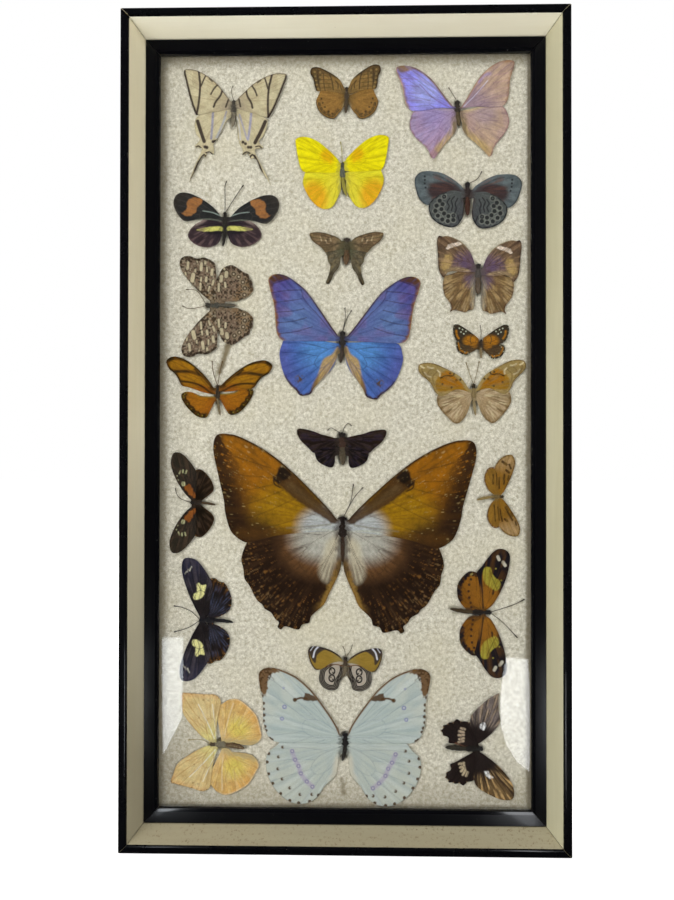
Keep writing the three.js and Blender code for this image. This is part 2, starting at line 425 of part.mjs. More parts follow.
// The hanger's nails go into the top rail, whose own X runs against the frame's
function nail(clearance) {
  const { headRadius, headHeight, shankRadius, length, sides: around } = nailSize;
  const headBack = gap + hangerSize.thickness + gap;
  const profile = [
    [0, -length - clearance], [shankRadius + clearance, -length - clearance], [shankRadius + clearance, headBack],
    [headRadius, headBack], [headRadius, headBack + headHeight], [0, headBack + headHeight],
  ];
  return new THREE.LatheGeometry(profile.map(([r, y]) => new THREE.Vector2(r, y)), around);
}

const hangerMiddle = hangerSize.height / 2;
const nailPlaces = { left: -nailReach, right: nailReach };

for (const place of sides) {
  let rail = mitredRail(railProfile, place.length);
  for (const along of pointPlaces[place.side]) {
    rail = rail.subtract(toSolid(pointBox(along, gap)));
    const point = named(`glazing_point_${place.side}_${pointPlaces[place.side].indexOf(along) + 1}`,
      pointBox(along, 0), zincSteel);
    framed.add(onSide(point, place));
  }
  if (place.side === 'top') {
    for (const x of Object.values(nailPlaces)) {
      rail = rail.subtract(toSolid(nail(boreClearance).translate(x, frameDepth, frameTop - hangerMiddle)));
    }
  }
  framed.add(onSide(named(`rail_${place.side}`, toGeometry(rail), creamPaint), place));
  const slip = toGeometry(mitredRail(slipProfile, place.length));
  framed.add(onSide(named(`slip_${place.side}`, slip, blackLacquer), place));
}

// Sheets in the rabbet
function sheet(front, back) {
  const reach = frameWidth / 2 - sheetInset;
  return boxBetween(
    [-reach, front - frameDepth, frameBottom + sheetInset],
    [reach, back - frameDepth, frameTop - sheetInset],
  );
}

framed.add(named('glass_pane', sheet(glassFront, glassFront + glassThickness), clearGlass));
framed.add(named('backing_board', sheet(boardFront, boardFront + boardThickness), hardboardBrown));

// Sawtooth hanger: a strip bowed out from the rail between its nailed ends, teeth downwards
const { halfLength, height, thickness, standOff, toothPitch, toothDepth } = hangerSize;
const bow = [[halfLength, gap], [15, gap], [13, gap + standOff]];
const bowBack = [[13.4, gap + standOff + thickness], [15.4, gap + thickness], [halfLength, gap + thickness]];
const strip = [
  ...bow, ...bow.toReversed().map(([x, y]) => [-x, y]),
  ...bowBack.toReversed().map(([x, y]) => [-x, y]), ...bowBack,
];
let hanger = toSolid(new THREE.ExtrudeGeometry(
  new THREE.Shape(strip.map(([x, y]) => new THREE.Vector2(x, y))),
  { depth: height, bevelEnabled: false },
));
for (let x = -2 * toothPitch; x <= 2 * toothPitch; x += toothPitch) {
  const notch = new THREE.Shape([
    new THREE.Vector2(x - toothPitch / 2, -1), new THREE.Vector2(x + toothPitch / 2, -1),
    new THREE.Vector2(x, toothDepth),
  ]);
  const cutter = new THREE.ExtrudeGeometry(notch, { depth: 6, bevelEnabled: false });
  hanger = hanger.subtract(toSolid(cutter.rotateX(Math.PI / 2).translate(0, 5, 0)));
}
for (const x of Object.values(nailPlaces)) {
  hanger = hanger.subtract(toSolid(nail(boreClearance).translate(x, 0, hangerMiddle)));
}
framed.add(named('sawtooth_hanger', toGeometry(hanger), zincSteel));
for (const [side, x] of Object.entries(nailPlaces)) {
  framed.add(named(`hanger_nail_${side}`, toGeometry(toSolid(nail(0).translate(x, 0, hangerMiddle))), zincSteel));
}

// Butterflies. In its own axes one lies in the XY plane, head towards +Y and back of the wings up,
// towards the glass.
function smoothed(outline) {
  const reach = Math.max(...outline.map(([x]) => x));
  const points = outline.map(([x, y]) => new THREE.Vector2(x, y));
  if (reach < wideWing) return points;
  return new THREE.SplineCurve(points).getPoints(2 * (points.length - 1));
}

function wing(outline, mirror, { turn, shift }) {
  const rootFirst = new THREE.Vector2(0, outline[0][1]);
  const rootLast = new THREE.Vector2(0, Math.max(outline.at(-1)[1], outline[0][1] - rootWidth));
  const edge = smoothed(outline);
  const geometry = new THREE.ExtrudeGeometry(new THREE.Shape([rootFirst, ...edge, rootLast]), {
    depth: wingThickness, bevelEnabled: false,
  });
  geometry.translate(0, 0, -wingThickness);
  geometry.rotateZ(THREE.MathUtils.degToRad(turn)).translate(shift[0], shift[1], 0);
  return toSolid(mirror ? geometry.scale(-1, 1, 1) : geometry);
}

// A body is turned about its long axis, then flattened, laid level with the wings and bent
function turned(profile, [, back, thorax, , bend]) {
  const points = profile.map(([r, y]) => new THREE.Vector2(r, y));
  const geometry = new THREE.LatheGeometry(points, bodySides);
  geometry.scale(1, 1, bodyDepthShare).translate(0, 0, bodyProud - thorax * bodyDepthShare / 2);
  const position = geometry.attributes.position;
  for (let i = 0; i < position.count; i += 1) {
    const share = Math.min(position.getY(i) / back, 1);
    if (share > 0) position.setX(i, position.getX(i) + bend * share * share);
  }
  return toSolid(geometry);
}

function bodySolid(body) {
  const [front, back, thorax, abdomen] = body;
  return turned([
    [0, back], [0.34 * abdomen, 0.92 * back], [0.5 * abdomen, 0.6 * back], [0.4 * abdomen, 0.28 * back],
    [0.5 * thorax, 0.05 * back], [0.5 * thorax, 0.4 * front], [0.32 * thorax, 0.8 * front], [0, front],
  ], body);
}

// The hollow its body presses in the wadding, clear of it all round
function pocketSolid(body) {
  const [front, back, thorax, abdomen] = body;
  return turned([
    [0, back - pocketClearance], [0.5 * abdomen + gap, back + 1], [0.5 * abdomen + pocketClearance, 0.5 * back],
    [0.5 * thorax + pocketClearance, 0.1 * back], [0.5 * thorax + pocketClearance, 0.8 * front],
    [0, front + pocketClearance],
  ], body);
}

function antenna(points, front) {
  const line = [[0, 0.3 * front], ...points].map(([x, y]) => new THREE.Vector2(x, y));
  const left = [];
  const right = [];
  line.forEach((point, i) => {
    const along = line[Math.min(i + 1, line.length - 1)].clone().sub(line[Math.max(i - 1, 0)]).normalize();
    const across = new THREE.Vector2(-along.y, along.x).multiplyScalar(antennaHalfWidth);
    left.push(point.clone().add(across));
    right.unshift(point.clone().sub(across));
  });
  const geometry = new THREE.ExtrudeGeometry(new THREE.Shape([...left, ...right]), {
    depth: wingThickness, bevelEnabled: false,
  });
  return toSolid(geometry.translate(0, 0, -wingThickness));
}

function butterfly({ body, forewing, hindwing, otherForewing, otherHindwing, other, drawn, antennae }) {
  const asDrawn = { turn: 0, shift: [0, 0] };
  const mirrorDrawn = drawn === 'left';
  return joined([
    bodySolid(body),
    wing(forewing, mirrorDrawn, asDrawn),
    wing(hindwing, mirrorDrawn, asDrawn),
    wing(otherForewing ?? forewing, !mirrorDrawn, other.forewing),
    wing(otherHindwing ?? hindwing, !mirrorDrawn, other.hindwing),
    ...antennae.map((points) => antenna(points, body[0])),
  ]);
}

const towardsViewer = Math.PI / 2;
let wadding = toSolid(sheet(waddingFront, waddingBack));
for (const specimen of butterflies) {
  const mesh = named(specimen.name, toGeometry(butterfly(specimen)), finish(specimen.colour, 0.7));
  mesh.rotation.set(towardsViewer, 0, THREE.MathUtils.degToRad(specimen.heading));
  mesh.position.set(specimen.at[0], wingFront - frameDepth, specimen.at[1]);
  mesh.updateMatrix();
  framed.add(mesh);
  const pocket = toGeometry(pocketSolid(specimen.body)).applyMatrix4(mesh.matrix);
  wadding = wadding.subtract(toSolid(pocket));
}
framed.add(named('cotton_wadding', toGeometry(wadding), cottonWhite));

export default framed;
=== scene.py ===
import math

import bmesh
import bpy
import numpy as np
from mathutils import Matrix, Vector


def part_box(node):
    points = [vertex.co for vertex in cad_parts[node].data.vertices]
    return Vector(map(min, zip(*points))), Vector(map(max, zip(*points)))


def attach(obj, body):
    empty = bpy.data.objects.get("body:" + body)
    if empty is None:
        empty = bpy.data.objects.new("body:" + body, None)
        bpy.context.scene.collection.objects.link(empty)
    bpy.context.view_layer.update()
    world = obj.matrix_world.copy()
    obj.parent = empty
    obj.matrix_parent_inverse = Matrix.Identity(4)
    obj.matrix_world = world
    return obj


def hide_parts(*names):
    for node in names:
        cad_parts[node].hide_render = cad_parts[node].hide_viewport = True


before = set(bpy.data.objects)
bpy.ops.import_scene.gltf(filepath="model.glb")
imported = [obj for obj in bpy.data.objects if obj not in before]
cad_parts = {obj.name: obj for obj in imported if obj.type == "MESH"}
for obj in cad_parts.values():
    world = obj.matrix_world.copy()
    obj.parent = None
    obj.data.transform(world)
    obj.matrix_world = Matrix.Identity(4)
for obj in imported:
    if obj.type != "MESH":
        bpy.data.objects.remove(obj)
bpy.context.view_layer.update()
MM = 0.001


# The outer moulding: four lengths of wood, mitred at the corners. The slope inside is painted
# cream and the rounded lip and the sides are black lacquer; the back and the rabbet stay bare.


def rgb(code):
    """A colour written as #RRGGBB, as the linear values that shaders take."""
    parts = [int(code[i : i + 2], 16) / 255 for i in (1, 3, 5)]
    return [p / 12.92 if p <= 0.04045 else ((p + 0.055) / 1.055) ** 2.4 for p in parts]


class Finish:
    """A material's nodes, added one after another and linked by name."""

    def __init__(self, name):
        self.material = bpy.data.materials.new(name)
        self.material.use_nodes = True
        self.tree = self.material.node_tree
        self.shader = self.tree.nodes["Principled BSDF"]
        self.place = self.add("TexCoord").outputs["Object"]

    def add(self, kind, **inputs):
        node = self.tree.nodes.new("ShaderNode" + kind)
        for name, value in inputs.items():
            if hasattr(node, name):
                setattr(node, name, value)
            else:
                self.join(value, node.inputs[name.replace("_", " ")])
        return node

    def join(self, value, socket):
        if isinstance(value, bpy.types.NodeSocket):
            self.tree.links.new(value, socket)
        else:
            socket.default_value = value

    def set(self, **inputs):
        for name, value in inputs.items():
            self.join(value, self.shader.inputs[name.replace("_", " ")])
        return self

    def noise(self, size, detail=3.0, stretch=None, roughness=0.55):
        """Smooth noise whose lumps are size millimetres across."""
        place = self.place
        if stretch:
            place = self.add("Mapping", Vector=self.place, Scale=stretch).outputs[0]
        node = self.add("TexNoise", Vector=place, Scale=1 / (size * MM), Detail=detail, Roughness=roughness)
        return node.outputs["Fac"]

    def step(self, value, low, high, to=(0.0, 1.0)):
        """value carried from low..high to the range to, and held there outside it."""
        node = self.add("MapRange", Value=value)
        for name, number in (("From Min", low), ("From Max", high), ("To Min", to[0]), ("To Max", to[1])):
            node.inputs[name].default_value = number
        return node.outputs[0]

    def blend(self, share, first, second):
        node = self.add("MixRGB")
        self.join(share, node.inputs[0])
        for value, socket in ((first, node.inputs[1]), (second, node.inputs[2])):
            self.join(value if isinstance(value, bpy.types.NodeSocket) else (*rgb(value), 1), socket)
        return node.outputs[0]

    def math(self, how, *values):
        node = self.add("Math", operation=how)
        for value, socket in zip(values, node.inputs):
            self.join(value, socket)
        return node.outputs[0]

    def bump(self, height, depth, strength=1.0):
        """Relief of depth millimetres."""
        node = self.add("Bump", Height=height, Distance=depth * MM, Strength=strength)
        self.join(node.outputs[0], self.shader.inputs["Normal"])
        return self


def cream_paint(name, colour, shade, grime, stretch, painted_shade_below=0.0):
    """Old oil paint: yellowed in clouds, brushed lengthways, foxed with small brown specks, and, where asked,
    darkened with painted shade towards the frame's bottom.
    """
    paint = Finish(name)
    cloud = paint.step(paint.noise(40, 4, stretch), 0.35, 0.7)
    base = paint.blend(cloud, colour, shade)
    brushed = paint.step(paint.noise(1.6, 4, [1 if s == 1 else s * 0.3 for s in stretch]), 0.35, 0.7, (0, 0.3))
    base = paint.blend(brushed, base, shade)
    # painted shade: the paint is blended darker towards the bottom of the frame, where the lamps leave it dimmer
    if painted_shade_below:
        height = paint.add("SeparateXYZ", Vector=paint.place).outputs["Z"]
        painted_shade_low = paint.step(height, frame_middle * MM, frame_bottom * MM + 0.06, (0, painted_shade_below))
        base = paint.blend(painted_shade_low, base, "#7F7862")
    fox = paint.step(paint.noise(1.7, 4, roughness=0.7), *grime)
    patchy = paint.step(paint.noise(14, 3), 0.4, 0.6, (0.25, 1))
    base = paint.blend(paint.math("MULTIPLY", paint.math("MULTIPLY", fox, patchy), 0.8), base, "#6F5B3C")
    specks = paint.step(paint.noise(0.9, 2), 0.75, 0.8)
    base = paint.blend(paint.math("MULTIPLY", specks, 0.5), base, "#3A3226")
    rough = paint.step(paint.noise(14, 4), 0.3, 0.7, (0.36, 0.5))
    paint.set(Base_Color=base, Roughness=rough, Coat_Weight=0.12, Coat_Roughness=0.25)
    return paint.bump(paint.noise(1.6, 4), 0.05, 0.6).material


def black_lacquer(name, roughness):
    """Black lacquer with a little dust in it, and rubbed grey in the smallest places."""
    lacquer = Finish(name)
    dust = lacquer.step(lacquer.noise(1.1, 3, roughness=0.6), 0.735, 0.77)
    rub = lacquer.step(lacquer.noise(9, 5, roughness=0.75), 0.66, 0.74)
    base = lacquer.blend(lacquer.math("MULTIPLY", rub, 0.35), "#08080B", "#2E2B28")
    base = lacquer.blend(lacquer.math("MULTIPLY", dust, 0.55), base, "#A9A79E")
    rough = lacquer.step(lacquer.noise(22, 4), 0.3, 0.7, (roughness, roughness + 0.12))
    lacquer.set(Base_Color=base, Roughness=rough, Coat_Weight=0.25, Coat_Roughness=0.1)
    return lacquer.bump(lacquer.noise(5, 3), 0.06, 0.5).material


def bare_wood(name, colour, dark):
    """Unpainted pine, its grain running the rail's way."""
    wood = Finish(name)
    grain = wood.noise(1.2, 5, (1, 1, 0.06))
    rings = wood.step(wood.noise(7, 3, (1, 1, 0.05)), 0.35, 0.7)
    base = wood.blend(rings, colour, dark)
    base = wood.blend(wood.math("MULTIPLY", wood.step(grain, 0.5, 0.8), 0.5), base, dark)
    return wood.set(Base_Color=base, Roughness=0.8).bump(grain, 0.12, 0.7).material


def settled(name, bm, materials, smooth_angle=None):
    """The finished mesh as an object in the row frame, in metres, with its normals outwards."""
    bmesh.ops.recalc_face_normals(bm, faces=bm.faces)
    mesh = bpy.data.meshes.new(name)
    bm.to_mesh(mesh)
    bm.free()
    for material in materials:
        mesh.materials.append(material)
    if smooth_angle is not None:
        mesh.shade_smooth()
        mesh.set_sharp_from_angle(angle=math.radians(smooth_angle))
    piece = bpy.data.objects.new(name, mesh)
    bpy.context.scene.collection.objects.link(piece)
    return piece


def held(piece, nodes):
    """The piece rides with the frame and stands for its CAD nodes, which are hidden."""
    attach(piece, "root")
    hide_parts(*nodes)
    return piece


left_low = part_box("rail_left")[0]
right_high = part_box("rail_right")[1]
top_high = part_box("rail_top")[1]
bottom_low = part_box("rail_bottom")[0]
frame_left, frame_right = left_low.x / MM, right_high.x / MM
frame_top, frame_bottom = top_high.z / MM, bottom_low.z / MM
frame_front = left_low.y / MM
frame_width, frame_height = frame_right - frame_left, frame_top - frame_bottom
frame_middle = (frame_top + frame_bottom) / 2
frame_depth = -frame_front

# side: length, quarter turns about Y, and where its middle stands
SIDES = {
    "bottom": (frame_width, 0, (0, frame_bottom)),
    "left": (frame_height, 1, (frame_left, frame_middle)),
    "top": (frame_width, 2, (0, frame_top)),
    "right": (frame_height, 3, (frame_right, frame_middle)),
}
MITRE_GAP = 0.22
RAIL_CUTS = 24


def on_side(bm, side):
    """Takes a rail from its own axes (along X, depth Y, inset Z) to its side of the frame."""
    _, quarters, (x, z) = SIDES[side]
    turn = Matrix.Rotation(quarters * math.pi / 2, 4, "Y")
    bm.transform(Matrix.Scale(MM, 4) @ Matrix.Translation((x, frame_front, z)) @ turn)


def mitred_rail(profile, length):
    """A moulding swept along X in short steps, its two ends cut square to the mitre."""
    bm = bmesh.new()
    section = bm.faces.new([bm.verts.new((-length / 2, depth, inset)) for inset, depth in profile])
    swept = bmesh.ops.extrude_face_region(bm, geom=[section], use_keep_orig=True)
    far_end = [v for v in swept["geom"] if isinstance(v, bmesh.types.BMVert)]
    bmesh.ops.translate(bm, vec=(length, 0, 0), verts=far_end)
    lengthways = [e for e in bm.edges if abs(e.verts[0].co.x - e.verts[1].co.x) > length / 2]
    bmesh.ops.subdivide_edges(bm, edges=lengthways, cuts=RAIL_CUTS, use_grid_fill=False)
    for vert in bm.verts:
        vert.co.x *= 1 - 2 * (vert.co.z + MITRE_GAP) / length
    return bm


def rounded(points, corners):
    """A profile with arcs of the given radii at the numbered corners."""
    made = []
    for i, point in enumerate(points):
        here = np.array(point, float)
        radius = corners.get(i, 0)
        if not radius:
            made.append(tuple(here))
            continue
        before = np.array(points[i - 1], float) - here
        after = np.array(points[(i + 1) % len(points)], float) - here
        before, after = before / np.hypot(*before), after / np.hypot(*after)
        for t in np.linspace(0, 1, 6):
            way = (1 - t) ** 2 * before + t**2 * after
            made.append(tuple(here + radius * way))
    return made


RAIL_PROFILE = rounded(
    [
        (0, frame_depth), (0, 0.6), (4.9, 0), (5.7, 1.3),
        (12.2, 13.3), (12.2, 14.6), (8.3, 14.6), (8.3, frame_depth),
    ],
    {0: 0.4, 1: 1.9, 2: 0.9, 4: 0.35, 5: 0.3},
)
LIP_END = 5.75
SLOPE_END = 14.5
SIDE_SKIN = 0.5
lip_lacquer = black_lacquer("lip_lacquer", 0.22)
rail_pine = bare_wood("rail_pine", "#B58F5E", "#8A6337")
# each side is foxed in its own way, and its cream is painted lighter or darker for the light: the top and left
# with painted light, the right and bottom with painted shade, and the left one darkened towards its bottom as
# painted shade; the bottom one has also caught the most foxing
ALONG_X, ALONG_Z = (0.12, 1, 1), (1, 1, 0.12)
CREAMS_SHADED_BY_SIDE = {
    "top": cream_paint("cream_top_painted_light", "#F4F0DC", "#E6DFC4", (0.74, 0.8), ALONG_X),
    "left": cream_paint("cream_left_painted_light", "#F0E8CB", "#E0D5B1", (0.73, 0.79), ALONG_Z, 0.75),
    "right": cream_paint("cream_right_painted_shade", "#CDC8A9", "#BBB593", (0.72, 0.79), ALONG_Z),
    "bottom": cream_paint("cream_bottom_painted_shade", "#B6AE91", "#A0967A", (0.56, 0.66), ALONG_X),
}
for side, (length, _, _) in SIDES.items():
    rail = mitred_rail(RAIL_PROFILE, length)
    for face in rail.faces:
        middle = face.calc_center_median()
        inset, depth = middle.z, middle.y
        if LIP_END < inset and depth < SLOPE_END:
            face.material_index = 1
        elif depth > SLOPE_END and inset > SIDE_SKIN:
            face.material_index = 2
        else:
            face.material_index = 0
    on_side(rail, side)
    piece = settled(f"rail_{side}", rail, [lip_lacquer, CREAMS_SHADED_BY_SIDE[side], rail_pine], 35)
    held(piece, [f"rail_{side}"])


# The slips: four narrower mitred lengths in black that hide the glass's edge, with a wide satin
# slope and a narrow polished bevel at the sight edge.
slip_satin = black_lacquer("slip_satin", 0.3)
slip_polish = black_lacquer("slip_polish", 0.08)
SIGHT = 20.9
BEVEL_START = 18.6
SLIP_PROFILE = rounded(
    [
        (8.6, 18.3), (8.6, 14.9), (12.5, 14.9), (12.5, 13.9),
        (18.7, 15.8), (20.3, 16.4), (SIGHT, 17.4), (SIGHT, 18.3),
    ],
    {3: 0.3, 4: 0.35, 5: 0.3},
)
for side, (length, _, _) in SIDES.items():
    slip = mitred_rail(SLIP_PROFILE, length)
    for face in slip.faces:
        face.material_index = 1 if face.calc_center_median().z > BEVEL_START else 0
    on_side(slip, side)
    piece = settled(f"slip_{side}", slip, [slip_satin, slip_polish], 30)
    held(piece, [f"slip_{side}"])


# The glass: one sheet of 2 mm window glass behind the slips. Lamps shine through it, and it
# mirrors what stands in front.
glass = Finish("window_glass")
glass.set(Base_Color=(0.985, 0.995, 0.99, 1), Roughness=0.0, IOR=1.45, Transmission_Weight=1.0)
clear = glass.add("BsdfTransparent")
path = glass.add("LightPath")
lit = glass.add("MixShader")
soft_lit = glass.add("MixShader")
glass.join(path.outputs["Is Shadow Ray"], lit.inputs[0])
glass.join(glass.shader.outputs[0], lit.inputs[1])
glass.join(clear.outputs[0], lit.inputs[2])
glass.join(path.outputs["Is Diffuse Ray"], soft_lit.inputs[0])
glass.join(lit.outputs[0], soft_lit.inputs[1])
glass.join(clear.outputs[0], soft_lit.inputs[2])
glass.join(soft_lit.outputs[0], glass.tree.nodes["Material Output"].inputs["Surface"])


def sheet_between(low, high, edge_bevel=0.0):
    """A flat board between two corners, in metres, its arrises taken off."""
    bm = bmesh.new()
    size = high - low
    bmesh.ops.create_cube(bm, size=1, matrix=Matrix.Translation((low + high) / 2) @ Matrix.Diagonal((*size, 1)))
    if edge_bevel:
        bmesh.ops.bevel(
            bm, geom=bm.edges[:], offset=edge_bevel * MM, segments=2, profile=0.5, affect="EDGES", material=-1
        )
    return bm


glass_low, glass_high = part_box("glass_pane")
pane = settled("glass_pane", sheet_between(glass_low, glass_high, 0.15), [glass.material])
held(pane, ["glass_pane"])




# The butterflies: each was relaxed, spread and dried flat, and lies on the wadding with its upper
# side pressed to the glass; wings, body and antennae are one piece. An outline is in millimetres
# from the thorax, (outwards, towards the head), from the hinge round by the tip and back.
WING_FRONT = frame_depth + glass_high.y / MM + 0.35  # depth behind the frame's front line
HIND_LOWER = 0.22
BODY_PROUD = 0.26
BODY_FLATNESS = 0.75
SPAN_STEPS = 6
ROOT_WIDTH = 4.5
WING_SHEET = 0.1
LATTICE = 67
HEAD_END, THORAX_END = 0.16, 0.45  # shares of the body's length


def smooth_path(points, steps=SPAN_STEPS, closed=False):
    """A curve through points, with steps places on each span between two of them."""
    points = np.array(points, float)
    if len(points) < 3:
        return points
    if closed:
        ring = np.vstack([points[-1:], points, points[:2]])
    else:
        ring = np.vstack([2 * points[0] - points[1], points, 2 * points[-1] - points[-2]])
    made = []
    for a, b, c, d in zip(ring, ring[1:], ring[2:], ring[3:]):
        near, far = np.hypot(*(b - a)) ** 0.5, np.hypot(*(d - c)) ** 0.5
        span = max(np.hypot(*(c - b)) ** 0.5, 1e-6)
        near, far = max(near, 1e-6), max(far, 1e-6)
        leave = (b - a) / near - (c - a) / (near + span) + (c - b) / span
        arrive = (c - b) / span - (d - b) / (span + far) + (d - c) / far
        for t in np.arange(steps) / steps:
            h = np.array([2 * t**3 - 3 * t**2 + 1, t**3 - 2 * t**2 + t, -2 * t**3 + 3 * t**2, t**3 - t**2])
            made.append(h @ np.array([b, leave * span, c, arrive * span]))
    if not closed:
        made.append(points[-1])
    return np.array(made)


def to_path(places, path):
    """How far each place is from a path, how far along it the nearest point is, and that point."""
    near = np.full(len(places), np.inf)
    along = np.zeros(len(places))
    foot = np.zeros_like(places)
    for i, (a, b) in enumerate(zip(path, path[1:])):
        ab = b - a
        t = np.clip((places - a) @ ab / max(ab @ ab, 1e-12), 0, 1)
        at = a + t[:, None] * ab
        away = np.hypot(*(places - at).T)
        closer = away < near
        near[closer], along[closer], foot[closer] = away[closer], i + t[closer], at[closer]
    return near, along, foot


def within(places, ring):
    """Which places lie inside a closed ring."""
    inside = np.zeros(len(places), bool)
    x, y = places.T
    for (ax, ay), (bx, by) in zip(ring, np.roll(ring, -1, axis=0)):
        if ay != by:
            crosses = (ay > y) != (by > y)
            inside ^= crosses & (x < (bx - ax) * (y - ay) / (by - ay) + ax)
    return inside


def ramp(values, low, high):
    """0 below low, 1 above high, and smooth in between."""
    t = np.clip((values - low) / (high - low), 0, 1)
    return t * t * (3 - 2 * t)


def mottle(places, size, seed):
    """Smooth random values from 0 to 1 that vary about every size millimetres."""
    lattice = np.random.default_rng(seed).random((LATTICE, LATTICE))
    at = places / size
    cell = np.floor(at).astype(int)
    t = at - cell
    t = t * t * (3 - 2 * t)
    x, y = cell[:, 0] % LATTICE, cell[:, 1] % LATTICE
    x_next, y_next = (x + 1) % LATTICE, (y + 1) % LATTICE
    low = lattice[x, y] * (1 - t[:, 0]) + lattice[x_next, y] * t[:, 0]
    high = lattice[x, y_next] * (1 - t[:, 0]) + lattice[x_next, y_next] * t[:, 0]
    return low * (1 - t[:, 1]) + high * t[:, 1]


class Wing:
    """One wing's mesh and the colours laid on its scales."""

    def __init__(self, outline, grain, veins, other):
        outline = np.array(outline, float)
        self.other = other
        self.root = np.array([0.6, outline[0][1] - 0.8])
        self.edge = smooth_path(outline)
        close = np.array([[0, max(outline[-1][1], outline[0][1] - ROOT_WIDTH)], [0, outline[0][1]]])
        self.ring = np.vstack([self.edge, close])
        reach = np.hypot(*(outline - self.root).T)
        self.length = reach.max()
        self.tip = int(reach.argmax())
        self.end = len(outline) - 1
        self.corner = self.tip + int((outline[self.tip :, 0] - 1.1 * outline[self.tip :, 1]).argmax())
        self.grain = grain
        self.bm = self.cut_sheet()
        self.flat = np.array([v.co[:2] for v in self.bm.verts])
        self.vein_lines = self.lay_veins(*veins)
        self.near_vein = np.full(len(self.flat), np.inf)
        for line in self.vein_lines:
            self.near_vein = np.minimum(self.near_vein, to_path(self.flat, line)[0])

    def cut_sheet(self):
        """A fine square mesh cut to the outline, its cut points drawn onto the outline."""
        low = self.ring.min(0) - self.grain * 1.5
        size = self.ring.max(0) + self.grain * 1.5 - low
        count = np.ceil(size / self.grain).astype(int)
        bm = bmesh.new()
        shape = Matrix.Translation((*(low + size / 2), 0)) @ Matrix.Diagonal((*size, 1, 1))
        bmesh.ops.create_grid(bm, x_segments=int(count[0]), y_segments=int(count[1]), size=0.5, matrix=shape)
        places = np.array([v.co[:2] for v in bm.verts])
        closed = np.vstack([self.ring, self.ring[:1]])
        away, _, foot = to_path(places, closed)
        inward = np.where(within(places, self.ring), away, -away)
        kept = inward > 0.3 * self.grain
        drop = [f for f in bm.faces if not any(kept[v.index] for v in f.verts)]
        for v in bm.verts:
            if not kept[v.index]:
                v.co.x, v.co.y = foot[v.index]
        bmesh.ops.delete(bm, geom=drop, context="FACES")
        bmesh.ops.delete(bm, geom=[v for v in bm.verts if not v.link_faces], context="VERTS")
        return bm

    def lay_veins(self, first, last, count):
        """The cell and the veins that run from it to the edge, between two outline points."""
        ends = self.edge[(np.linspace(first, last, count) * SPAN_STEPS).astype(int)]
        middle = ends[len(ends) // 2]
        axis = middle - self.root
        across = np.array([-axis[1], axis[0]]) * 0.1
        if across @ (ends[0] - middle) < 0:
            across = -across
        cell_tip = self.root + axis * 0.5
        far_side = [
            self.root + axis * 0.34 + across, cell_tip + across * 0.5,
            cell_tip - across * 0.5, self.root + axis * 0.34 - across,
        ]
        lines = [smooth_path([self.root, *far_side, self.root], 8)]
        base = self.root + axis * 0.12
        rim = smooth_path([base + across * 0.7, *far_side, base - across * 0.7], 8)
        for i, end in enumerate(ends):
            start = rim[round((i + 0.5) / len(ends) * (len(rim) - 1))]
            sideways = np.array([-(end - start)[1], (end - start)[0]])
            bow = (start + end) / 2 + sideways * 0.04 * (1 - 2 * i / len(ends))
            lines.append(smooth_path([start, bow, end], 6))
        return lines

    def begin(self, colour):
        """Ground colour over the whole wing, ready for the markings."""
        self.colour = np.tile(rgb(colour), (len(self.flat), 1))
        self.gloss = np.zeros(len(self.flat))
        self.inward, self.along, _ = to_path(self.flat, self.edge)
        self.along = self.along / SPAN_STEPS
        return self

    def lay(self, colour, share):
        self.colour += (np.array(rgb(colour)) - self.colour) * np.clip(share, 0, 1)[:, None]
        return self

    def patch(self, colour, *corners, soft=0.3, share=0.94, rough=0.0):
        """A marking with a smooth outline through its corners."""
        ring = smooth_path(corners, 5, closed=True) if len(corners) > 3 else np.array(corners, float)
        close = np.all((self.flat > ring.min(0) - 3 * soft) & (self.flat < ring.max(0) + 3 * soft), axis=1)
        places = self.flat[close]
        away = to_path(places, np.vstack([ring, ring[:1]]))[0]
        inward = np.where(within(places, ring), away, -away)
        if rough:
            inward = inward + rough * (mottle(places, 1.3, 5) - 0.5)
        cover = np.zeros(len(self.flat))
        cover[close] = ramp(inward, -soft, soft) * share
        return self.lay(colour, cover)

    def spots(self, colour, radius, *centres, soft=0.25, share=0.94):
        for centre in centres:
            away = np.hypot(*(self.flat - centre).T)
            self.lay(colour, (1 - ramp(away, radius - soft, radius + soft)) * share)
        return self

    def stroke(self, colour, width, *points, soft=0.25, share=0.94):
        path = smooth_path(points, 5)
        above, below = self.flat > path.min(0) - width - soft, self.flat < path.max(0) + width + soft
        close = np.all(above & below, axis=1)
        cover = np.zeros(len(self.flat))
        away = to_path(self.flat[close], path)[0]
        cover[close] = (1 - ramp(away, width / 2 - soft, width / 2 + soft)) * share
        return self.lay(colour, cover)

    def strokes(self, colour, *lines):
        """Several strokes in one colour, each a width and then its points."""
        for width, *points in lines:
            self.stroke(colour, width, *points)
        return self

    def wash(self, colour, start, end, share=1.0):
        """Colour that grows from nothing at start to full at end."""
        start, end = np.array(start, float), np.array(end, float)
        way = end - start
        return self.lay(colour, ramp((self.flat - start) @ way / (way @ way), 0, 1) * share)

    def glow(self, colour, centre, inner, outer, share=1.0, squeeze=(1, 1)):
        """Colour full within inner of centre, gone beyond outer."""
        away = np.hypot(*((self.flat - centre) * squeeze).T)
        return self.lay(colour, (1 - ramp(away, inner, outer)) * share)

    def border(self, colour, width, first, last, soft=0.4, share=0.94, rough=0.0):
        """A band inside the edge, between two numbered outline points."""
        inward = self.inward + rough * (mottle(self.flat, 1.5, 11) - 0.5)
        band = 1 - ramp(inward, width - soft, width + soft)
        ends = ramp(self.along, first - 0.35, first + 0.35) * (1 - ramp(self.along, last - 0.35, last + 0.35))
        return self.lay(colour, band * ends * share)

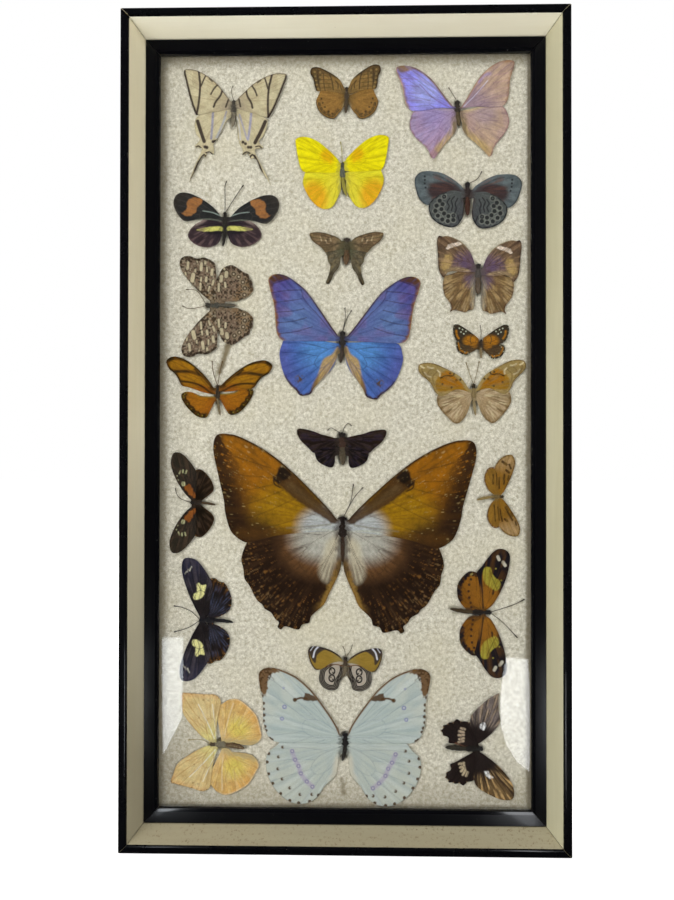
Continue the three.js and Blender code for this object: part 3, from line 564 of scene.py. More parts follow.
    def scallops(self, colour, width, first, last, count, depth, soft=0.25, share=0.94, offset=0.0):
        """A band along the edge that bulges inwards between the veins."""
        phase = (self.along - first) / (last - first) * count
        inward = self.inward - offset
        bulge = width + depth * np.abs(np.sin(np.pi * phase))
        band = (1 - ramp(inward, bulge - soft, bulge + soft)) * ramp(inward, -soft, soft)
        ends = (self.along > first) & (self.along < last)
        return self.lay(colour, band * ends * share)

    def edge_spots(self, colour, radius, inset, first, last, count, share=0.94):
        """A row of spots along the edge."""
        for at in np.linspace(first, last, count):
            place = self.edge[int(at * SPAN_STEPS)]
            inwards = self.root + (place - self.root) * 0.5 - place
            self.spots(colour, radius, place + inwards / np.hypot(*inwards) * inset, soft=0.15, share=share)
        return self

    def veins(self, colour, width=0.22, share=0.6):
        return self.lay(colour, (1 - ramp(self.near_vein, width / 2 - 0.12, width / 2 + 0.12)) * share)

    def rays(self, colour, share=0.5, fineness=26, near=0.0, far=1.0, seed=3):
        """Fine streaks that run out from the root."""
        away = self.flat - self.root
        polar = np.stack([np.arctan2(away[:, 1], away[:, 0]) * fineness, np.hypot(*away.T) / self.length * 5], 1)
        reach = np.hypot(*away.T) / self.length
        streak = ramp(mottle(polar, 1.0, seed), 0.45, 0.85)
        outwards = streak * share * ramp(reach, near - 0.1, near + 0.1)
        return self.lay(colour, outwards * (1 - ramp(reach, far - 0.1, far + 0.1)))

    def flecks(self, colour, share, near, far, seed, rare):
        """Short scratches along the wing where scales have rubbed off, between two reaches."""
        away = self.flat - self.root
        reach = np.hypot(*away.T)
        polar = np.stack([np.arctan2(away[:, 1], away[:, 0]) * self.length / 0.62, reach / 3.4], 1)
        kept = ramp(mottle(polar, 1.0, seed), rare, rare + 0.1)
        kept = kept * ramp(reach / self.length, near - 0.06, near + 0.06)
        return self.lay(colour, share * kept * (1 - ramp(reach / self.length, far - 0.02, far)))

    def cloud(self, colour, size, share=0.4, low=0.45, high=0.75, seed=1):
        """Soft uneven blotches."""
        return self.lay(colour, ramp(mottle(self.flat, size, seed), low, high) * share)

    def dust(self, share):
        """Uneven density of the scales, fine and coarse."""
        fine = mottle(self.flat, self.grain * 1.6, 2) - 0.5
        broad = mottle(self.flat, 4.0, 3) - 0.5
        away = self.flat - self.root
        rows = np.stack([np.arctan2(away[:, 1], away[:, 0]) * 34, np.hypot(*away.T) / 2.6], 1)
        streak = mottle(rows, 1.0, 4) - 0.5
        self.colour *= (1 + share * (1.6 * fine + broad) + (0.12 + share * 0.8) * streak)[:, None]
        return self

    def furred(self, colour, reach):
        """Hair lying over the wing's base, thinning out towards the wing."""
        away = self.flat - self.root
        strand = mottle(np.stack([np.arctan2(away[:, 1], away[:, 0]) * 16, np.hypot(*away.T) / 3], 1), 1.0, 19)
        beside = np.abs(self.flat[:, 0]) + np.maximum(0, self.flat[:, 1] - self.root[1]) * 0.5
        return self.lay(colour, 0.7 * (1 - ramp(beside + reach * (strand - 0.6), reach * 0.25, reach)))

    def shine(self, amount):
        self.gloss = np.maximum(self.gloss, amount)
        return self

    def raised(self, lift):
        """Height of the sheet: veins stand up, cells sag, and the whole has dried a little wavy."""
        ridge = np.exp(-((self.near_vein / 0.35) ** 2)) * 0.07
        wave = (mottle(self.flat, 9, 31) - 0.5) * 0.16
        return lift + ridge + wave


scales = Finish("wing_scales")
laid = scales.add("Attribute", attribute_name="scale_colour").outputs["Color"]
glossy = scales.add("Attribute", attribute_name="scale_gloss").outputs["Fac"]
fleck = scales.noise(0.28, 2, roughness=0.6)
shaded = scales.add("HueSaturation", Color=laid, Value=scales.step(fleck, 0.3, 0.7, (0.84, 1.12))).outputs[0]
scales.set(Base_Color=shaded, Metallic=scales.math("MULTIPLY", glossy, 0.55))
scales.set(Roughness=scales.step(glossy, 0, 1, (0.72, 0.42)), Specular_IOR_Level=0.22)
scales.bump(fleck, 0.05, 0.5)

fur = Finish("body_fur")
fur_colour = fur.add("Attribute", attribute_name="scale_colour").outputs["Color"]
tuft = fur.noise(0.4, 3, roughness=0.7)
fur_tone = fur.add("HueSaturation", Color=fur_colour, Value=fur.step(tuft, 0.3, 0.7, (0.65, 1.3))).outputs[0]
fur.set(Base_Color=fur_tone)
fur.set(Roughness=0.75, Specular_IOR_Level=0.3, Sheen_Weight=0.1, Sheen_Roughness=0.5)
fur.bump(tuft, 0.2, 0.8)


def body_radius(t, thorax, abdomen):
    """Half the width of a body, t from 0 at the front of the head to 1 at the tail."""
    places = [0, 0.03, 0.09, 0.15, 0.18, 0.22, 0.31, 0.40, 0.46, 0.56, 0.72, 0.86, 0.95, 1]
    widths = [0, 0.22, 0.33, 0.30, 0.24, 0.40, 0.50, 0.44, 0, 0, 0, 0, 0, 0]
    tail = [0, 0, 0, 0, 0, 0, 0, 0, 0.40, 0.46, 0.5, 0.40, 0.25, 0]
    return np.interp(t, places, [w * thorax + a * abdomen for w, a in zip(widths, tail)])


def body_mesh(front, back, thorax, abdomen, bend):
    """Head, thorax and ringed abdomen in one closed skin, with two eyes."""
    bm = bmesh.new()
    bmesh.ops.create_uvsphere(bm, u_segments=20, v_segments=72, radius=1)
    for v in bm.verts:
        t = math.acos(max(-1, min(1, v.co.z))) / math.pi
        around = math.atan2(v.co.y, v.co.x)
        radius = body_radius(t, thorax, abdomen)
        rings = 1 - 0.07 * (0.5 + 0.5 * math.cos(t * 58)) * (t > 0.46)
        lumps = 1 + 0.05 * math.sin(around * 3 + t * 31) + 0.04 * math.sin(around * 5 - t * 47)
        length = front + (back - front) * t
        side = radius * rings * lumps * math.cos(around)
        share = max(0, length / back)
        # the glass has pressed the upper side flat: the section is squarer than an ellipse
        up = math.sin(around)
        round_part = up**0.3 if up > 0 else -((-up) ** 0.45)
        height = radius * (rings * lumps * round_part - 1) * BODY_FLATNESS + BODY_PROUD
        v.co = (side + bend * share * share, length, height)
    for side in (-1, 1):
        socket = Matrix.Translation((side * thorax * 0.24, front * 0.78, BODY_PROUD - thorax * 0.14))
        eye = socket @ Matrix.Diagonal((1, 1.25, 1, 1))
        bmesh.ops.create_icosphere(bm, subdivisions=2, radius=thorax * 0.13, matrix=eye)
    return bm


def add_hair(bm, at, way, length, width):
    """One hair: a long three-sided spike."""
    turn = Vector(way).to_track_quat("Z", "Y").to_matrix().to_4x4()
    place = Matrix.Translation(Vector(at) + Vector(way) * length / 2) @ turn
    bmesh.ops.create_cone(bm, cap_ends=True, segments=3, radius1=width, radius2=0, depth=length, matrix=place)


def add_feeler(bm, points, front, club):
    """An antenna: short tapering lengths end to end, thicker at the club."""
    path = smooth_path([(0, 0.8 * front), *points], 7)
    for i, (a, b) in enumerate(zip(path, path[1:])):
        way = Vector((*(b - a), 0))
        t = (i + 1) / (len(path) - 1)
        thick = 0.2 + (club - 0.2) * max(0, (t - 0.82) / 0.18)
        before = 0.2 + (club - 0.2) * max(0, (t - 1 / (len(path) - 1) - 0.82) / 0.18)
        turn = way.to_track_quat("Z", "Y").to_matrix().to_4x4()
        place = Matrix.Translation((*((a + b) / 2), -0.25)) @ turn
        bmesh.ops.create_cone(
            bm, cap_ends=True, segments=7, radius1=before, radius2=thick, depth=way.length * 1.06, matrix=place
        )


hollows = []


def spread_butterfly(
    name, at, heading, drawn, forewing, hindwing, paint, body, fur_colours, other_forewing=None,
    other_hindwing=None, turned=((0, 0, 0), (0, 0, 0)), dust=None, feelers=(), grain=0.4,
    veins=((None, None, 7), (None, None, 6)), hind_over=False, club=0.42, hairs=160, hair_length=1.6, tuck=1.5,
):
    """One butterfly as one piece: four painted wings, a body and antennae, laid where it lies."""
    hollows.append((*at, heading, *body))
    whole = bmesh.new()
    colours, glosses = [], []
    placed = Matrix.Translation((at[0] * MM, (WING_FRONT - frame_depth) * MM, at[1] * MM))
    placed = placed @ Matrix.Rotation(math.radians(-heading), 4, "Y")
    placed = placed @ Matrix.Rotation(math.pi / 2, 4, "X") @ Matrix.Scale(MM, 4)
    for other in (False, True):
        fore_line = other_forewing if other and other_forewing else forewing
        hind_line = other_hindwing if other and other_hindwing else hindwing
        pair = []
        if not hind_over:
            reach = max(x for x, _ in hind_line) * 1.0001
            widest = max(range(len(hind_line)), key=lambda i: hind_line[i][0])
            hind_line = [
                (x, y + tuck * max(0, 1 - x / reach) ** 0.5 * (i < widest)) for i, (x, y) in enumerate(hind_line)
            ]
        for line, (first, last, count) in ((fore_line, veins[0]), (hind_line, veins[1])):
            reach = np.hypot(*np.array(line, float).T)
            tip = int(np.argmax(reach)) if line is fore_line else int(np.argmax(np.array(line)[:, 0]))
            low = int(np.argmin(np.array(line)[:, 1]))
            end = len(line) - 2.5 if line is fore_line else min(low + 1, len(line) - 1.5)
            first = first if first is not None else max(tip - 1.5, 1)
            last = last if last is not None else end
            pair.append(Wing(line, grain, (first, max(last, first + 1), count), other))
        paint(*pair)
        if dust is not None:
            for wing in pair:
                wing.dust(dust)
        pair[0].furred(fur_colours[3], body[2] * 0.9)
        pair[1].furred(fur_colours[3], body[2] * 0.8)
        for wing, turn, is_hind in zip(pair, turned, (False, True)):
            lift = -HIND_LOWER if is_hind != hind_over else 0
            heights = wing.raised(lift)
            for v, height in zip(wing.bm.verts, heights):
                v.co.z = height
            place = wing.bm.verts.layers.int.new("place")
            for i, v in enumerate(wing.bm.verts):
                v[place] = i
            bmesh.ops.solidify(wing.bm, geom=wing.bm.faces[:], thickness=WING_SHEET)
            order = [v[place] for v in wing.bm.verts]
            colours.append(wing.colour[order])
            glosses.append(wing.gloss[order])
            if other:
                angle = math.radians(turn[0])
                wing.bm.transform(Matrix.Translation((turn[1], turn[2], 0)) @ Matrix.Rotation(angle, 4, "Z"))
            right = (drawn == "right") != other
            if not right:
                wing.bm.transform(Matrix.Diagonal((-1, 1, 1, 1)))
                bmesh.ops.reverse_faces(wing.bm, faces=wing.bm.faces[:])
            sheet = bpy.data.meshes.new("sheet")
            wing.bm.to_mesh(sheet)
            wing.bm.free()
            whole.from_mesh(sheet)
            bpy.data.meshes.remove(sheet)
    wing_faces = len(whole.faces)
    front, back, thorax, abdomen, bend = body
    torso = body_mesh(*body)
    head_colour, thorax_colour, abdomen_colour, hair_colour = map(rgb, fur_colours)
    rng = np.random.default_rng(len(name) * 101 + int(abs(at[1])))
    skin = len(torso.verts)
    for _ in range(hairs):
        t = rng.uniform(0.16, 0.62)
        around = rng.uniform(-0.2, math.pi + 0.2)
        radius = float(body_radius(t, thorax, abdomen))
        length = front + (back - front) * t
        share = max(0, length / back)
        lift = radius * (math.sin(around) * 0.9 - 1) * BODY_FLATNESS + BODY_PROUD
        at_skin = (radius * math.cos(around) * 0.9 + bend * share * share, length, lift)
        outwards, along = math.cos(around) * rng.uniform(0.5, 1.3), rng.uniform(-1.6, 0.3)
        way = Vector((outwards, along, math.sin(around) * 0.25)).normalized()
        add_hair(torso, at_skin, way, rng.uniform(0.5, 1.0) * hair_length, 0.07)
    for points in feelers:
        add_feeler(torso, points, front, club)
    for i, v in enumerate(torso.verts):
        t = (v.co.y - front) / (back - front)
        v.co.z = min(v.co.z, BODY_PROUD + 0.06)
        base = head_colour if t < HEAD_END else thorax_colour if t < THORAX_END else abdomen_colour
        colours.append([hair_colour if i >= skin else base])
    body_part = bpy.data.meshes.new("torso")
    torso.to_mesh(body_part)
    torso.free()
    whole.from_mesh(body_part)
    bpy.data.meshes.remove(body_part)
    whole.transform(placed)
    mesh = bpy.data.meshes.new(name)
    whole.to_mesh(mesh)
    whole.free()
    paint_layer = mesh.color_attributes.new("scale_colour", "FLOAT_COLOR", "POINT")
    shown = np.ones((len(mesh.vertices), 4))
    shown[:, :3] = np.clip(np.vstack(colours), 0, 1)
    paint_layer.data.foreach_set("color", shown.ravel())
    gloss_layer = mesh.attributes.new("scale_gloss", "FLOAT", "POINT")
    shiny = np.zeros(len(mesh.vertices))
    shiny[: sum(map(len, glosses))] = np.concatenate(glosses)
    gloss_layer.data.foreach_set("value", shiny)
    mesh.materials.append(scales.material)
    mesh.materials.append(fur.material)
    index = np.zeros(len(mesh.polygons), int)
    index[wing_faces:] = 1
    mesh.polygons.foreach_set("material_index", index)
    mesh.shade_smooth()
    piece = bpy.data.objects.new(name, mesh)
    bpy.context.scene.collection.objects.link(piece)
    return held(piece, [name])


# Kite swallowtail: thin cream wings barred with black-brown, long sword tails, a fuzzy grey body.
def paint_zebra(fore, hind):
    ink = "#2F2220"
    for wing in (fore, hind):
        wing.begin("#BDB290").cloud("#A99C7A", 5, 0.5)
        wing.veins("#8E7B5A", 0.4, 0.4)
    fore.wash("#8A7C6B", (13.9, 4.7), (0.9, -2), 0.8)
    fore.border("#5A4837", 0.5, 1, fore.tip, share=0.8)
    fore.border(ink, 1.3, fore.tip - 0.2, fore.corner + 0.2)
    fore.strokes(ink, (1.4, (22.8, 22.7), (22, 15.2), (22.1, 10), (22.9, 2.1), (24.2, -5.1)),
        (1.0, (18.4, 20.1), (20.1, 16.5), (21.3, 13.5)))
    fore.stroke(ink, 1.0, (15.9, 18.1), (14, 16.4), share=0.8)
    fore.strokes(ink, (1.1, (10.7, 14.1), (13, 11.5), (14.9, 8.1)),
        (1.3, (7.5, 10.5), (8.7, 7.2), (12, 2.7), (13.1, -0.2)), (1.1, (3.6, 4.3), (5.2, -0.3)))
    if fore.other:
        hind.stroke("#8385AC", 1.5, (11.4, -4), (10.6, -12.5), (9.3, -21.6), soft=0.4, share=0.7)
        hind.stroke("#8385AC", 1.1, (3.7, -5.3), (6.3, -13.7), (8.6, -20.9), soft=0.4, share=0.6)
        hind.stroke("#BDBBB7", 1.2, (2.1, -6.5), (3.7, -15), (4.4, -21.6), soft=0.4, share=0.8)
        hind.stroke(ink, 2.3, (20.5, -9.9), (17.4, -16.8), (13.8, -23.6))
        hind.spots(ink, 1.0, (6, -23.2), (7.6, -24.2), (11.1, -26.6), (9.5, -26.5))
        hind.strokes(ink, (0.9, (14.2, -26.2), (16.8, -25.9), (18.7, -27.9)),
            (1.0, (5.7, -31.3), (8.3, -29.6), (10.6, -30.5)),
            (1.1, (10.3, -33.3), (12.2, -31.4), (14.5, -33.7)), (1.3, (13.5, -32), (16.8, -38.6), (19.4, -45.8)))
        hind.stroke(ink, 0.6, (19.4, -45.8), (22, -50.3), (24.6, -54.9), share=0.8)
    else:
        hind.stroke("#74789D", 1.5, (13.5, -2.5), (14, -11.7), (14.7, -20.8), soft=0.4, share=0.7)
        hind.stroke("#74789D", 1.1, (4.8, -3.2), (7.4, -11.7), (10.6, -20.2), soft=0.4, share=0.6)
        hind.stroke("#A7A9A7", 1.3, (5.4, -7.1), (8.7, -14.3), (11.6, -20.2), soft=0.4, share=0.8)
        hind.strokes(ink, (2.3, (23.6, -9.4), (21.7, -15.5), (19.3, -22.5)), (0.9, (25, -19.1), (22.7, -21.7)),
            (0.9, (25, -26.6), (23, -25.5), (20.7, -27.6)))
        hind.spots(ink, 1.1, (17.5, -26.5), (18.8, -26.1), soft=0.4)
        hind.spots(ink, 1.0, (13.5, -22.7), (12.2, -22.4))
        hind.strokes(ink, (1.1, (18.1, -29.9), (15.8, -29.6), (13.5, -31.6)),
            (1.0, (21, -33.1), (19.1, -31.1), (17.8, -33.2)), (1.6, (20.1, -32.2), (23, -36.4), (25.3, -41.6)))
        hind.stroke(ink, 0.6, (25.3, -41.6), (28.2, -48.1), (30.1, -54.6), share=0.8)


spread_butterfly(
    "zebra_swallowtail", (-72.1, -44.5), 0, "left",
    [(1.8, 3.1), (3.5, 5.4), (7.7, 10.7), (12.9, 16.6), (22.8, 23), (28.7, 24.4), (32.3, 23.8), (31, 15.5),
        (26.9, 0.3), (24.5, -5.5)],
    [(2.4, -2.2), (23.7, -7), (25.4, -10.8), (24.5, -18.4), (22.1, -21.8), (25.3, -26.5), (20.7, -28),
        (21, -29.4), (24.5, -37), (28.5, -47.4), (30.2, -53.8), (28.8, -49.2), (25.3, -42.2), (22.1, -35.3),
        (19.8, -31.8), (18.6, -33.2), (16.9, -29.4), (13.4, -31.2), (12.8, -27.2), (13.4, -24.8), (10.5, -20.2),
        (4.7, -9.2)],
    other_hindwing=[(1.8, -2.2), (20.3, -8.2), (22, -10.5), (19.2, -19.8), (16.3, -23.9), (19.2, -27.6),
        (13.9, -29), (18.1, -39), (22.1, -46.6), (25, -53.5), (22.1, -47.7), (17.5, -41.3), (13.9, -33.7),
        (11.1, -34), (9.3, -30.2), (5.8, -31.6), (5.8, -27.8), (3.5, -23.8), (2.3, -15.6), (1.7, -6.9)],
    body=(4.2, -13.6, 4, 3, -0.8), turned=((-7.6, -0.8, 0.9), (0, 0, 0)),
    feelers=[[(-1.7, 10.5), (-0.6, 13.4)]],
    paint=paint_zebra, dust=0.14, fur_colours=("#3E3931", "#48433B", "#7A7260", "#6E6757"), grain=0.34,
    hairs=420, hair_length=2.8,
)


# Longwing: velvet black with a broad orange-red band and a yellow bar across the hindwing.
def paint_red_banded(fore, hind):
    fore.begin("#252525").wash("#35302A", (22.5, 3.3), (33, 15.8), 0.7)
    fore.patch("#946336", (18.8, 14.3), (14.6, 12.9), (15.6, 10.4), (17.8, 8.1), (19.1, 4.5), (23.5, 2.4),
        (28.3, 4.1), (25.3, 6.7), (24.8, 11.1), (22.6, 13.6), soft=0.45, rough=0.9)
    fore.veins("#4E4A45", 0.4, 0.35)
    fore.stroke("#94A299", 0.5, (2.6, 2.3), (8.2, 4.6), (14.4, 5.7), share=0.8)
    fore.stroke("#727668", 0.7, (2.3, -1), (9.5, 0.3), (18.6, 0), share=0.6)
    fore.border("#4E473E", 0.8, fore.tip - 1, fore.corner + 0.3, share=0.7)
    hind.begin("#33272B").wash("#251E25", (16, -13), (1.6, -7.8), 0.8)
    hind.border("#8D7C74", 1.6, 0, 4, soft=1.0, share=0.8)
    hind.patch("#201A20", (17.9, -7.6), (12, -8.8), (1.6, -8.8), (1.3, -6.5), (10.7, -7.5))
    hind.patch("#C3C066", (18.3, -6.6), (11.7, -4.9), (6.3, -4.3), (1.5, -4.8), (1, -7.1), (6.3, -7.2),
        (11.2, -7.7), (15, -7.3), rough=0.4)
    hind.rays("#695352", 0.6, 22, 0.5)
    hind.veins("#191519", 0.4, 0.5)
    hind.border("#6A5552", 0.6, 4, hind.end - 2, share=0.6)


spread_butterfly(
    "red_banded_longwing", (-77.7, -118.1), 0, "left",
    [(2.5, 1.8), (6.3, 6.7), (10.7, 10.5), (19.3, 15.7), (23.7, 17.3), (28.6, 17.7), (31.8, 16), (33.4, 12.8),
        (33.4, 9.5), (31.8, 5.2), (26.4, -0.8), (18.8, 0), (14.5, 0.3), (8.5, -0.5), (3.6, -1.2)],
    [(1.5, -1.9), (6.3, 0.7), (11.7, 0.7), (15.5, -1.6), (19.9, -4), (23.1, -7.3), (24.2, -10), (23.1, -12.7),
        (20.4, -15.3), (16.1, -17.3), (11.2, -18), (6.9, -17), (4.1, -14.9), (1, -7.4)],
    body=(5.2, -17.6, 3.6, 2.4, -1.4), turned=((-4, 1, 0), (0, -0.3, 0.2)),
    feelers=[[(0, 15.6), (0, 22.2), (0.9, 25.1)], [(6.8, 14.9), (11.9, 22.4)]],
    paint=paint_red_banded, dust=0.2, fur_colours=("#26221D", "#2B2722", "#2A2622", "#2E2925"), hairs=220,
)


# Cracker: bark colours, mottled dark brown and dusty grey with a row of ringed spots.
def paint_cracker(fore, hind):
    dark, pale, ground = "#2D2318", "#B5A98A", "#6D5A49"
    fore.begin(ground).wash("#816842", (13.4, 6.5), (2.3, 0.6), 0.7).cloud(dark, 1.1, 0.9, 0.5, 0.6)
    fore.cloud("#938671", 1.0, 0.7, 0.58, 0.7, 4)
    for width, start, end in (
        (1.7, (27.8, 16.5), (23.8, 16.9)), (1.2, (21.2, 18.3), (19.9, 18)), (2.6, (19.9, 13.2), (16, 13.8)),
        (1.9, (27.1, 7.7), (23.2, 8.1)), (1.4, (29.1, 5.3), (27.1, 5.3)), (1.5, (29.3, 2), (29, 0)),
        (1.8, (23.1, 0.8), (19.9, 1.2)), (1.6, (17.9, 4.6), (15.7, 4.8)), (1.4, (14.1, 8.4), (10.2, 8.5)),
        (1.3, (18, 8), (16, 8.1)), (1.4, (16, 0), (13.4, 0.7)), (1.2, (23.2, 11.8), (21.9, 11.8)),
        (1.2, (24.5, 4.3), (21.9, 4.1)), (1.0, (32, 17.7), (30.7, 19)), (1.1, (29.7, 10.8), (28.1, 10.5)),
        (1.2, (12.1, 2.6), (9.5, 3.3)),
    ):
        fore.stroke(dark, width + 0.9, start, end, share=0.55)
        fore.stroke(pale, width, start, end)
    fore.border(dark, 1.0, 0, 1.5, share=0.6)
    fore.scallops(dark, 1.1, fore.tip - 2, fore.corner + 0.3, 8, 0.7)
    fore.edge_spots("#81755F", 0.4, 0.5, fore.tip - 2, fore.corner + 0.3, 8)
    hind.begin(ground).wash("#7B613F", (3.6, -8.5), (0.3, -15), 0.7).cloud(dark, 0.9, 0.9, 0.5, 0.6)
    hind.cloud("#8C7C66", 0.9, 0.6, 0.58, 0.7, 4)
    for width, start, end in (
        (2.4, (18.6, -5.1), (16, -4.8)), (2.4, (21.2, -8.4), (18.9, -8.2)), (1.5, (14, -3.5), (9.5, -3.4)),
        (1.3, (24.2, -6.6), (23.4, -7.1)), (1.4, (14.7, -7.5), (12.1, -7.8)),
    ):
        hind.stroke(dark, width + 0.8, start, end, share=0.6)
        hind.stroke(pale, width, start, end)
    hind.edge_spots(dark, 1.35, 0.7, 3, 11, 10)
    hind.edge_spots("#716253", 0.5, 0.4, 3, 11, 10)
    ring = [(20.4, -13.1), (18.5, -16.4), (15.1, -19.1), (11, -20.4), (6.8, -20.2)]
    for shade, radius in (("#84755C", 2.0), (dark, 1.5), ("#7B6B55", 0.9), ("#C2B8A2", 0.35)):
        hind.spots(shade, radius, *ring)


spread_butterfly(
    "grey_cracker", (-85.1, -173.8), 90, "right",
    [(2.6, 2.1), (9.6, 10.1), (18.1, 17.6), (22.6, 20.6), (27.1, 22.1), (30.5, 21.1), (32, 18.7), (32, 15.1),
        (30.5, 11.2), (31, 5.7), (27.3, -0.8), (24.5, -1.4), (13.5, -2.1), (7.1, -1.9), (2.6, -1.4)],
    [(3.6, -2.9), (9.6, -1.1), (14.5, -1.3), (18, -3.6), (24, -6.3), (26.2, -11.3), (25.2, -14.3),
        (21.4, -19.8), (20, -22.8), (17.4, -23.5), (14.9, -25.3), (12.5, -25.3), (9.9, -25.8), (5.3, -21.8),
        (4, -18.8), (2.6, -15.8), (2.3, -7.9)],
    body=(5.4, -15, 4.5, 3, 0), turned=((-3.1, 0.5, 0.2), (-3.1, 0, 0.5)),
    feelers=[[(9.5, 11.1), (10.5, 18)], [(-1.9, 13), (-1.8, 16.9), (-0.2, 20.2)]],
    paint=paint_cracker, dust=0.2, fur_colours=("#36332C", "#45433B", "#4F4A3F", "#6A5B45"), hairs=260,
    grain=0.34,
)


# Long-winged orange: ochre with a dark costa, tip and two slanting dark lines.
def paint_orange(fore, hind):
    dark, gold = "#241902", "#956705"
    fore.begin("#8C5C04").wash("#8C4A04", (15.7, 5.9), (11.1, 0), 0.85)
    fore.border(dark, 2.3, -1, fore.tip + 0.3, soft=0.8, rough=0.6)
    fore.border(dark, 1.3, fore.tip - 1, fore.corner + 0.3, soft=0.6)
    fore.patch(gold, (31.2, 18.3), (27.5, 20.6), (19.8, 18.8), (15.1, 15.4), (17.7, 14.2), (24.2, 15.4),
        (29.4, 15.3), soft=0.5)
    fore.stroke(dark, 1.9, (27.4, 13.3), (22, 13.4), (17, 13), (12, 11.1), soft=0.5)
    fore.patch(gold, (25.1, 11.2), (17.7, 11.2), (10.5, 8.8), (5.3, 3.3), (8.5, 4.3), (14.4, 6.8), (21.6, 8.1),
        soft=0.6)
    fore.stroke(dark, 1.3, (23.8, 6.9), (17.6, 6.2), (10.6, 3.9), (2.6, -1.9), soft=0.4)
    fore.stroke("#4A3203", 0.8, (10.5, 8.2), (6.6, 3.9), (2, -1.9), soft=0.4, share=0.7)
    fore.veins("#3D2B03", 0.4, 0.5)
    hind.begin("#884D03").glow("#965F04", (13.7, -5.2), 4, 12, 0.7)
    hind.border("#7A7338", 0.8, -1, 2.5, share=0.7)
    hind.border(dark, 2.6, 3.6, 9.6)
    hind.scallops(dark, 2.6, 4.0, 9.3, 9, 0.9)
    hind.edge_spots("#817127", 0.4, 1.7, 4.4, 9.0, 9)
    hind.edge_spots("#817127", 0.25, 0.5, 4.4, 9.0, 9)
    hind.veins("#563102", 0.4, 0.45)
    for wing in (fore, hind):
        wing.rays("#7A4C0E", 0.35, 26)


spread_butterfly(
    "orange_longwing", (-82.3, -230), 0, "left",
    [(2.3, 2.6), (6, 7.7), (10.1, 12.4), (20, 20.5), (28.9, 23), (33.3, 20.2), (31.4, 15), (28.3, 12.4),
        (26.3, 9.8), (23.1, 4.1), (19, 3.1), (10.1, 0), (2.9, -1.6)],
    [(2.3, -3.1), (6, -3.1), (11.1, -2.6), (16.3, -0.5), (21, 0), (23.4, -1.5), (23.6, -3.6), (19.4, -10.4),
        (12.7, -16.1), (7.5, -16.6), (4.9, -12.5), (1.8, -6.2)],
    body=(4.8, -15.5, 3.4, 2, 1.9), turned=((-9, -0.4, 2), (3.3, -0.5, 1.5)),
    feelers=[[(-2.9, 13), (-3.6, 20.1)], [(1.3, 12.3), (3.1, 20.1)]],
    paint=paint_orange, dust=0.2, fur_colours=("#2A231A", "#332A1E", "#6E6248", "#5E4420"), hairs=260, tuck=0.3,
)


# Small dark longwing: brown-black, an orange wedge at the base and cream spots beyond.
def paint_orange_based(fore, hind):
    fore.begin("#29221B").wash("#2F281D", (11.4, 7.5), (30.8, 16.7), 0.8)
    fore.patch("#7E4717", (2.6, 1.3), (8.1, 7.5), (10.4, 8.2), (11.8, 4.7), (9.1, 3.1), (4.3, 0.7), soft=0.4,
        rough=0.8)
    for start, end in (((18.8, 11.5), (20.6, 10.7)), ((19.4, 9.2), (21, 9)), ((18.9, 7.4), (20.8, 6.7))):
        fore.stroke("#B1B183", 0.9, start, end)
    fore.spots("#9D9D77", 0.45, (17.3, 12.9), (14.6, 12.2))
    fore.patch("#B4B386", (13.3, 9.9), (13.4, 8.1), (11, 7.8), (10.7, 9.5))
    fore.border("#494134", 0.5, fore.tip - 1, fore.corner + 0.3, share=0.6)
    hind.begin("#160E05").wash("#211408", (8.2, -2.2), (10.1, -10), 0.6)
    hind.border("#6B4D26", 0.8, -1, 2.6)
    hind.border("#523920", 0.5, 3.2, 7, share=0.5)
    for wing in (fore, hind):
        wing.veins("#14100D", 0.45, 0.6).rays("#54402F", 0.4, 26, 0.4)


spread_butterfly(
    "orange_based_longwing", (-95.5, -301.7), 90, "right",
    [(1.8, 3.8), (5.6, 7.6), (14.7, 13.5), (26, 17.1), (32.1, 15.2), (32.5, 12), (30.9, 8.7), (21.7, 1.2),
        (19, 0.3), (8.2, 0.5), (2.3, 1.1)],
    [(2.9, 1.6), (14.7, 1.9), (20.1, 1.6), (21.7, -1.6), (20.4, -4.2), (14.7, -9.1), (8.3, -10.8), (1.3, -3.3)],
    body=(4.6, -12.6, 3.2, 1.8, -1.6), turned=((2.6, 0.8, -0.4), (0, 0.9, -0.2)),
    feelers=[[(2.3, 10.3), (5, 13), (9.3, 14.1)]],
    paint=paint_orange_based, dust=0.25, fur_colours=("#1E1A16", "#2A2119", "#4A3A26", "#2E241B"), hairs=110,
    hair_length=1.2, grain=0.36,
)


